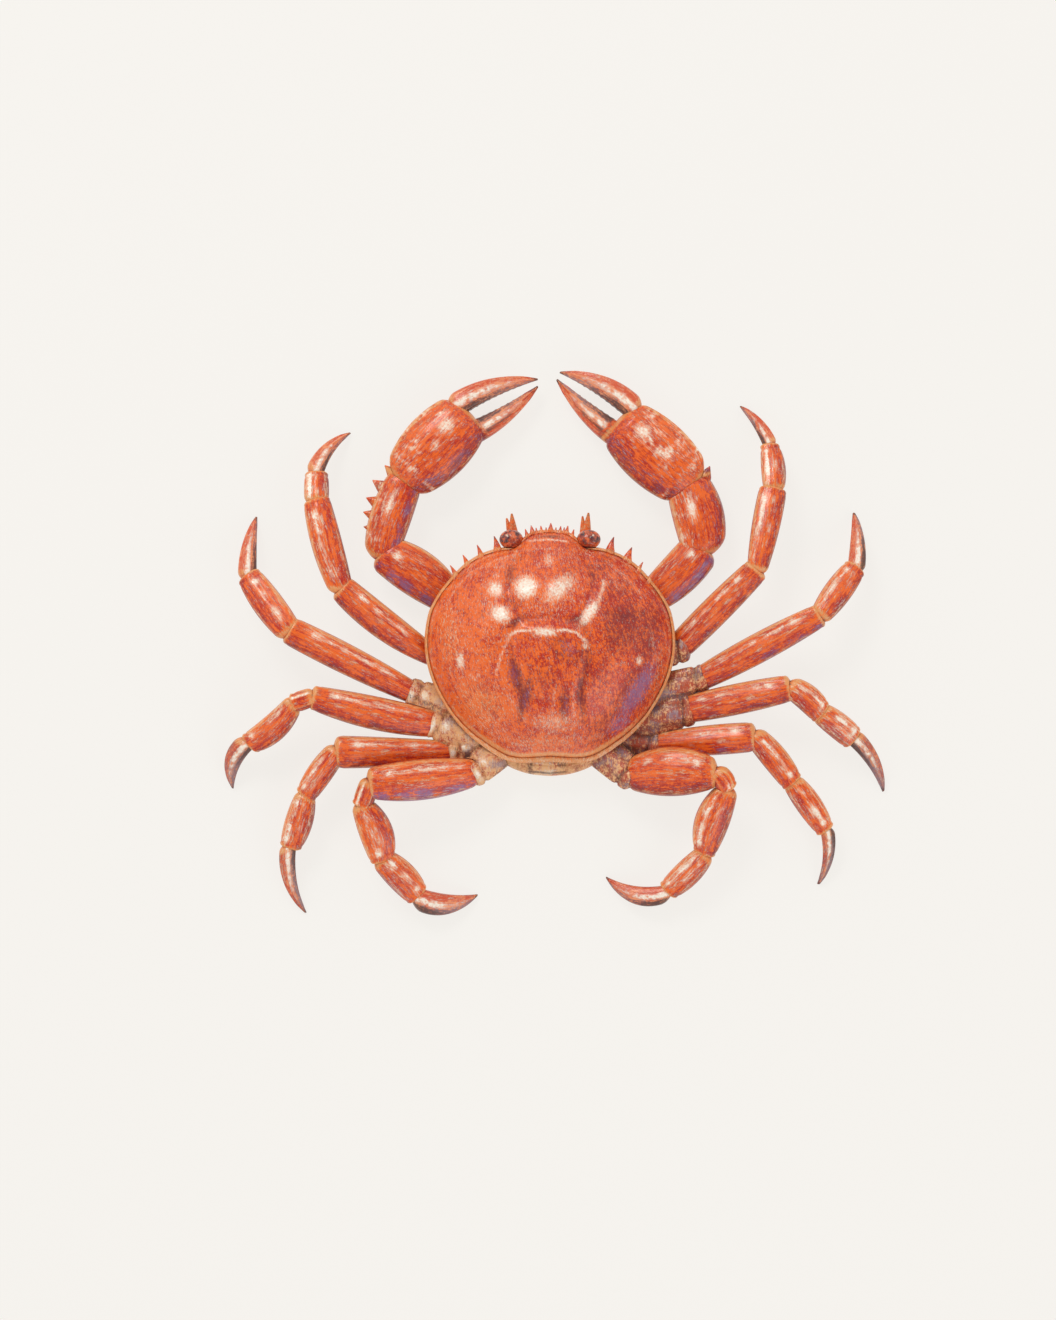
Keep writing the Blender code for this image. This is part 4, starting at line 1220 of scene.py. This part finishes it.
def build_eye(side, sign):
    """A stalked eye with its clear cornea, dark spots and glint."""
    centre = np.array(mirrored(EYE_CENTRE, sign))
    eye = loose_object("eye", ellipsoid(centre, EYE_RADII, (64, 44)))
    points = mesh_points(eye)
    away = (points - centre) / np.array(EYE_RADII)
    looking = np.array(mirrored(EYE_LOOKS, sign))
    facing = away @ (looking / np.linalg.norm(looking))
    ring = hump(facing, CORNEA_FROM, 0.04)
    points += away * (0.2 * (facing > CORNEA_FROM) - 0.2 * ring)[:, None]
    move_points(eye, points)
    x, y, z = points.T
    cornea = 0.8 * ramp(facing, CORNEA_FROM, 0.05)
    fine = waviness(points, 1.4)
    spots = places_mask(sign * x, y, EYE_SPOTS) * (z > 21)
    dark = np.maximum(cornea, spots) + 0.16 + 0.55 * fine
    glint = 0.9 * hump(x, sign * 21.6, 0.8) * hump(y, 57.4, 0.7)
    store_paint(
        eye, points, np.maximum(0.25 * np.clip(-2 * fine, 0, 1) * (1 - cornea), glint * (z > 21)),
        dark * (1 - glint), rim=0.22 * np.clip(fine + 0.3, 0, 1), red=0.4 + 0.7 * fine, violet=0.3 * cornea,
        stain_and_shade=0.5 * ring,
    )
    finish_piece(eye, "eye_" + side, "eye")


def build_mouth_plate(side, sign):
    """A mouth plate with the seam that crosses it."""
    centre = mirrored(MOUTH_CENTRE, sign)
    plate = loose_object("mouth_plate", ellipsoid(centre, MOUTH_RADII, (48, 36)))
    points = mesh_points(plate)
    away = (points - np.array(centre)) / np.array(MOUTH_RADII)
    seam = hump(away[:, 2] - 0.15, 0.25 * away[:, 0] * sign, 0.08)
    points -= away * (0.5 * seam)[:, None]
    move_points(plate, points)
    fine = waviness(points, 2.2)
    store_paint(
        plate, points, 0.0, 0.15 + 0.5 * seam + 0.2 * fine, rim=0.5 + 0.3 * fine, red=0.5 + 0.5 * fine,
        violet=0.0, stain_and_shade=0.3 * seam,
    )
    finish_piece(plate, "mouth_plate_" + side, "under_shell")


def build_feeler(side, sign):
    """A feeler of two thin prongs."""
    prongs = []
    relief = ridged(0.25, ((90, 22, 1.0),), 0.0)
    for tip, widths in zip(FEELER_TIPS[side], FEELER_WIDTHS):
        shape = Shape(mirrored(FEELER_ROOT, sign), tip, widths, 0.0, TIP_FLATNESS)
        prongs.append(loose_object("prong", piece_body(shape, (28, 36), relief)))
    feeler, *others = prongs
    combine(feeler, others, "UNION")
    points = mesh_points(feeler)
    fine = waviness(points, 2.0)
    far = ramp(points[:, 1], 60, 8)
    store_paint(
        feeler, points, 0.0, 0.35 * far + 0.3 * fine, rim=0.5 + 0.4 * fine, red=0.35 + 0.5 * fine,
        violet=0.0, stain_and_shade=0.45 * far**3,
    )
    finish_piece(feeler, "feeler_" + side, "limb_shell")


# Limbs


def lit_side(shape):
    """1 where the left side of the piece faces the light, otherwise -1."""
    return 1 if piece_frame(shape)[2] @ np.array(LIGHT_SIDE) >= 0 else -1


def blended(amount, first, second):
    return first * (1 - amount) + second * amount


def finger_paint(points, shape, inner, tone):
    """Masks of a finger or tip: streaked, with a painted highlight along the middle of its top, and darker
    towards the side it faces.
    """
    distance, share, across, above, _ = piece_places(points, shape)
    half = half_across(shape, share)
    side = across / half
    upper = np.clip(0.35 + above / (half * shape.flatness), 0, 1)
    fine = waviness(points, 2.0)
    red, dusk, violet = tone
    inner_edge, outer_edge = ramp(side * inner, 0.26, 0.35), ramp(-side * inner, 0.15, 0.35)
    outline = ramp(np.abs(side), 0.9, 0.06)
    end = ramp(share, 0.82, 0.16)
    # Painted highlight along the middle of the top, fading towards the end
    pale = 1.35 * hump(side * inner, 0.04, 0.34) * upper * np.clip(1.3 - 1.3 * share, 0, 1)
    return {
        "pale": pale * np.clip(0.85 + fine, 0, 1) * (1 - end),
        "dusk": dusk + 0.55 * inner_edge + 0.3 * end + 0.2 * fine + 0.45 * outline,
        "rim": 0.6 * hump(distance, 2.5, 1.8) + 0.2 * outer_edge,
        "red": red + 0.75 * outer_edge + 0.2 * fine,
        "violet": violet * (0.35 + 0.8 * share) + 0.6 * inner_edge,
        "stain_and_shade": inner_edge * np.clip(1.3 - 1.5 * share, 0, 1) + 0.9 * end**2,
    }


def limb_paint(points, shape, name, bluish):
    """Masks of a limb piece: rims at its ends and ridges, a painted highlight streak, and painted shade on
    its shaded side.
    """
    distance, share, across, above, length = piece_places(points, shape)
    half = half_across(shape, share)
    side, height = across / half, above / (half * shape.flatness)
    lean = min(1.0, 2.2 * abs(piece_frame(shape)[2] @ np.array(LIGHT_SIDE)))
    toward = side * lit_side(shape)
    rough, fine = waviness(points, 6.0), waviness(points, 2.0)
    turn = np.degrees(np.arctan2(height, side))
    crests = np.zeros(len(share))
    for at, width, amount in RIDGES[name]:
        crests = np.maximum(crests, min(amount, 1.0) * hump(turn, at, 0.45 * width))
    along = np.clip(8 * (share - 0.06), 0, 1) * np.clip(8 * (0.94 - share), 0, 1)
    on_top = np.clip(height + 0.4, 0, 1) * along
    from_end = length - distance
    start, collar = hump(distance, 2.4, 2.0), hump(from_end, 1.2, 1.3)
    # Cream edge lines, stronger on the side towards the light as painted light
    edges = ramp(np.abs(side), 0.84, 0.12) * np.where(toward > 0, 0.75, 0.45) * (np.abs(side) < 0.97)
    outline = ramp(np.abs(side), 0.93, 0.05) * (np.abs(side) < 1.2)

    # Painted highlights: a streak and a patch on the side towards the light, a thin second streak, and
    # lighter ridges
    spot = 0.42 * lean + 0.08
    streak = 0.80 * hump(toward, spot, 0.18) * np.clip(0.60 + 0.9 * rough + 0.4 * share, 0, 1)
    second = 0.42 * hump(toward, -0.22, 0.10) * np.clip(0.5 + 2 * rough, 0, 1)
    if name in HIGHLIGHT_AND_CREAM_PIECES:
        at, reach, creaminess = HIGHLIGHT_AND_CREAM_PIECES[name]
        cream = np.clip(0.35 + rough + 0.7 * fine, 0, 1) * ramp(toward, -0.6, 0.7)
        patch = np.maximum(0.92 * hump(toward, 0.22, 0.25) * hump(share, at, reach), creaminess * cream)
        streak, second = 0.35 * streak, 0.3 * second
    else:
        patch = 0.98 * hump(toward, spot, 0.26) * hump(from_end, 0.17 * length, 0.09 * length)
    pale = np.maximum(np.maximum(streak, patch), second) * on_top + 0.22 * crests * along
    pale += TOP_LIT_PIECES.get(name, 0.0) * on_top * np.clip(0.7 + rough, 0, 1)

    # Painted shade on the side away from the light, with a darker outline along the edges
    shade = ramp(-toward, 0.30, 0.5) * (0.35 + 0.65 * lean)
    dusk = 0.80 * shade * (0.85 + 0.5 * rough) + 0.15 * np.clip(rough, 0, 1) + 0.10 + 0.5 * outline
    rim = 0.85 * collar + 0.75 * start + edges * np.clip(0.8 + 1.4 * fine, 0.2, 1)
    # Dark at both ends, where the piece meets its neighbours, partly painted shade in the joints
    stain_and_shade = 0.9 * hump(distance, 0, 1.4) + 0.55 * hump(from_end, 0, 0.45) + 0.15 * start * (fine > 0.1)
    # Painted shade also under the piece; on the lit side stronger rims, on the shaded side redder and
    # bluish, as painted light and shade
    return {
        "pale": pale, "dusk": dusk + 0.35 * (height < -0.5),
        "rim": np.clip(rim + 0.42 * crests * along + 0.25 * (toward > 0.35), 0, 1),
        "red": 0.55 + 0.22 * rough - 0.20 * crests + 0.35 * shade,
        "violet": ramp(-toward, 0.30, 0.3) * np.clip(0.75 + 0.9 * rough, 0, 1) * (0.4 + 0.6 * lean) * bluish,
        "stain_and_shade": stain_and_shade,
    }


def flow_along(points, shape):
    distance, _, across, above, _ = piece_places(points, shape)
    return np.column_stack([across, above, distance])


def palm_paint(points, limb, shape):
    """Masks and flow of a palm with its fixed finger, and where it is as bare as the finger."""
    finger, inner = FIXED_FINGERS[limb.name], INNER_SIDES[limb.name]
    distance, share, across, above, _ = piece_places(points, finger)
    half = half_across(finger, share)
    near = np.hypot(across / half, above / (half * finger.flatness)) < 1.35
    on_finger = ramp(distance, FINGER_BARE_FROM, 1.5) * near
    palm = limb_paint(points, shape, "palm", PALM_BLUISH)
    past_ridge = piece_places(points, shape)[0] - PALM_RIDGE_AT
    uneven = np.clip(0.6 + 1.5 * waviness(points, 4.0), 0, 1)
    palm["pale"] = np.maximum(palm["pale"], 0.62 * hump(past_ridge, 0, 1.3) * uneven)
    palm["dusk"] = palm["dusk"] + 0.5 * hump(past_ridge, -1.9, 0.8) * uneven
    bare = finger_paint(points, finger, -inner, TIP_TONES[limb.name])
    bare["stain_and_shade"] += 1.05 * hump(across / half * inner, 0.42, 0.22) * np.clip(1.1 - share, 0, 1)
    masks = {key: blended(on_finger, palm[key], bare[key]) for key in palm}
    past_foot = distance - FINGER_BARE_FROM
    masks["rim"] = np.maximum(masks["rim"], 0.4 * hump(past_foot, 0, 0.9) * near)
    masks["stain_and_shade"] = np.maximum(masks["stain_and_shade"], 0.5 * hump(past_foot, 1.6, 0.6) * near)
    flow = blended(on_finger[:, None], flow_along(points, shape), flow_along(points, finger))
    return masks, flow, on_finger > 0.5


def wrist_spines(limb):
    made = []
    foot_z, tip_z = WRIST_SPINE_Z
    for foot, tip in WRIST_SPINES[limb.name]:
        inward = (Vector(foot) - Vector(tip)).normalized() * WRIST_SPINE_LENGTH
        made.append(spine((*(Vector(tip) + inward), foot_z), (*tip, tip_z), WRIST_SPINE_RADIUS))
    return made


def build_limb(limb, settings):
    """Every piece of a limb beyond its root, each cut back round the next one."""
    gap = settings.joint_gap / MM
    ridge = settings.ridge_height / MM
    inner = INNER_SIDES.get(limb.name)
    shapes = limb_shapes(limb)
    for index, (piece, shape) in enumerate(shapes):
        bare_piece = piece.name in BARE_PIECES
        if piece.name == "finger":
            relief = finger_relief(ridge, inner)
        else:
            relief = ridged(ridge, RIDGES[piece.name], 0.0 if bare_piece else 0.30)
        obj = loose_object(piece.name, piece_body(shape, LIMB_STEPS[piece.name], relief))
        if piece.name == "wrist":
            combine(obj, wrist_spines(limb), "UNION")
        if piece.name == "palm":
            fixed = piece_body(FIXED_FINGERS[limb.name], LIMB_STEPS["finger"], finger_relief(ridge, -inner))
            combine(obj, [loose_object("fixed_finger", fixed)], "UNION")
        if index + 1 < len(shapes):
            room = piece_body(shapes[index + 1][1], ROOM_STEPS, None, gap)
            combine(obj, [loose_object("room", room)], "DIFFERENCE")

        points = mesh_points(obj)
        flow, bare = flow_along(points, shape), None
        if piece.name == "palm":
            masks, flow, bare = palm_paint(points, limb, shape)
        elif bare_piece:
            masks = finger_paint(points, shape, inner or -lit_side(shape), TIP_TONES[limb.name])
        else:
            bluish = BLUISH_PIECES.get((limb.name, piece.name), PLAIN_BLUISH)
            masks = limb_paint(points, shape, piece.name, bluish)
        store_paint(obj, flow, **masks)
        material, slot = ("tip_shell", "shell_dusky") if bare_piece else ("limb_shell", "shell_red")
        finish_piece(obj, f"{limb.name}_{piece.name}", material)
        if bare is not None:
            obj.data.materials.append(bpy.data.materials["tip_shell"])
            for face in obj.data.polygons:
                face.material_index = int(all(bare[vertex] for vertex in face.vertices))


# Operators


class CRAB_OT_materials(bpy.types.Operator):
    """Make the shell finishes"""

    bl_idname = "crab.materials"
    bl_label = "Shell Finishes"

    def execute(self, context):
        build_materials(context.scene.crab_finish)
        return {"FINISHED"}


class CRAB_OT_back_shell(bpy.types.Operator):
    """Build the back shell with its spines and eye sockets"""

    bl_idname = "crab.back_shell"
    bl_label = "Back Shell"

    def execute(self, context):
        build_back_shell(context.scene.crab_shape)
        return {"FINISHED"}


class CRAB_OT_belly(bpy.types.Operator):
    """Build the body under the back shell, with the limb roots and the tail flap"""

    bl_idname = "crab.belly"
    bl_label = "Belly and Tail Flap"

    def execute(self, context):
        build_belly(context.scene.crab_shape)
        build_tail_flap()
        return {"FINISHED"}


class CRAB_OT_face(bpy.types.Operator):
    """Build the eyes, feelers and mouth plates"""

    bl_idname = "crab.face"
    bl_label = "Face"

    def execute(self, context):
        for side, sign in (("left", -1), ("right", 1)):
            build_eye(side, sign)
            build_mouth_plate(side, sign)
            build_feeler(side, sign)
        return {"FINISHED"}


class CRAB_OT_claws(bpy.types.Operator):
    """Build both claws"""

    bl_idname = "crab.claws"
    bl_label = "Claws"

    def execute(self, context):
        for limb in CLAWS:
            build_limb(limb, context.scene.crab_shape)
        return {"FINISHED"}


class CRAB_OT_legs(bpy.types.Operator):
    """Build the ten walking legs"""

    bl_idname = "crab.legs"
    bl_label = "Walking Legs"

    def execute(self, context):
        for limb in LEGS:
            build_limb(limb, context.scene.crab_shape)
        return {"FINISHED"}


def stage_floor(settings):
    """A wide pale floor just under the crab, with a little light of its own."""
    bm = bmesh.new()
    bmesh.ops.create_grid(bm, x_segments=1, y_segments=1, size=3.0)
    bmesh.ops.translate(bm, vec=(0.0, 0.0, -0.0002), verts=bm.verts)
    mesh = bpy.data.meshes.new("floor")
    bm.to_mesh(mesh)
    bm.free()
    floor = bpy.data.objects.new("floor", mesh)
    bpy.context.scene.collection.objects.link(floor)
    material = bpy.data.materials.new("floor_paper")
    material.use_nodes = True
    shader = material.node_tree.nodes["Principled BSDF"].inputs
    for socket, value in {
        "Base Color": (0.11, 0.108, 0.104, 1.0), "Emission Color": (*settings.floor_colour, 1.0),
        "Emission Strength": settings.floor_glow, "Roughness": 0.9, "Specular IOR Level": 0.1,
    }.items():
        shader[socket].default_value = value
    mesh.materials.append(material)


def softbox(name, place_at, aim, size, power):
    light = bpy.data.lights.new(name, "AREA")
    light.shape = "RECTANGLE"
    light.size, light.size_y = size
    light.energy = power
    obj = bpy.data.objects.new(name, light)
    obj.location = place_at
    obj.rotation_euler = (Vector(aim) - Vector(place_at)).to_track_quat("-Z", "Y").to_euler()
    bpy.context.scene.collection.objects.link(obj)


def studio_world(strength):
    """A pale room, dimmer straight overhead."""
    world = bpy.data.worlds.new("studio")
    world.use_nodes = True
    tree = world.node_tree
    background = tree.nodes["Background"].inputs
    background["Color"].default_value = (1.0, 0.985, 0.96, 1.0)
    up = add_node(tree, "SeparateXYZ", {0: add_node(tree, "TexCoord", {}, "Generated")}, "Z")
    tree.links.new(ranged(tree, up, 0.70, 0.97, strength, strength * 0.3), background["Strength"])
    return world


class CRAB_OT_stage(bpy.types.Operator):
    """Build the floor, the softboxes and the camera"""

    bl_idname = "crab.stage"
    bl_label = "Stage"

    def execute(self, context):
        scene, settings = context.scene, context.scene.crab_stage
        stage_floor(settings)
        softbox("key_softbox", (-0.77, 1.57, 1.76), (0.0, 0.0, 0.03), (0.85, 0.7), settings.key_power)
        softbox("rear_softbox", (1.4, -1.7, 1.5), (0.0, 0.0, 0.0), (1.4, 1.4), settings.key_power * 0.55)
        scene.world = studio_world(settings.sky_strength)
        scene.view_settings.view_transform = "Standard"
        camera = bpy.data.objects.new("camera", bpy.data.cameras.new("camera"))
        camera.data.lens = 100.0
        camera.data.sensor_width = 36.0
        camera.location = (-0.011, -0.005, settings.camera_height)
        scene.collection.objects.link(camera)
        scene.camera = camera
        return {"FINISHED"}


class CRAB_PT_panel(bpy.types.Panel):
    """Lists the steps that build the crab"""

    bl_idname = "CRAB_PT_panel"
    bl_label = "Cooked Crab"
    bl_space_type = "VIEW_3D"
    bl_region_type = "UI"
    bl_category = "Crab"

    def draw(self, context):
        for operator in OPERATORS:
            self.layout.operator(operator.bl_idname)
        for name in SETTINGS:
            settings = getattr(context.scene, name)
            for key in settings.bl_rna.properties.keys():
                if key not in ("rna_type", "name"):
                    self.layout.prop(settings, key)


OPERATORS = (
    CRAB_OT_materials, CRAB_OT_back_shell, CRAB_OT_belly, CRAB_OT_face, CRAB_OT_claws, CRAB_OT_legs,
    CRAB_OT_stage,
)
SETTINGS = {
    "crab_finish": CrabFinishSettings, "crab_shape": CrabShapeSettings, "crab_stage": CrabStageSettings,
}


def register():
    for name, settings in SETTINGS.items():
        bpy.utils.register_class(settings)
        setattr(bpy.types.Scene, name, PointerProperty(type=settings))
    for cls in (*OPERATORS, CRAB_PT_panel):
        bpy.utils.register_class(cls)


def unregister():
    for cls in (CRAB_PT_panel, *reversed(OPERATORS)):
        bpy.utils.unregister_class(cls)
    for name, settings in SETTINGS.items():
        delattr(bpy.types.Scene, name)
        bpy.utils.unregister_class(settings)


def main():
    register()
    for operator in OPERATORS:
        group, step = operator.bl_idname.split(".")
        getattr(getattr(bpy.ops, group), step)()


if __name__ == "__main__":
    main()
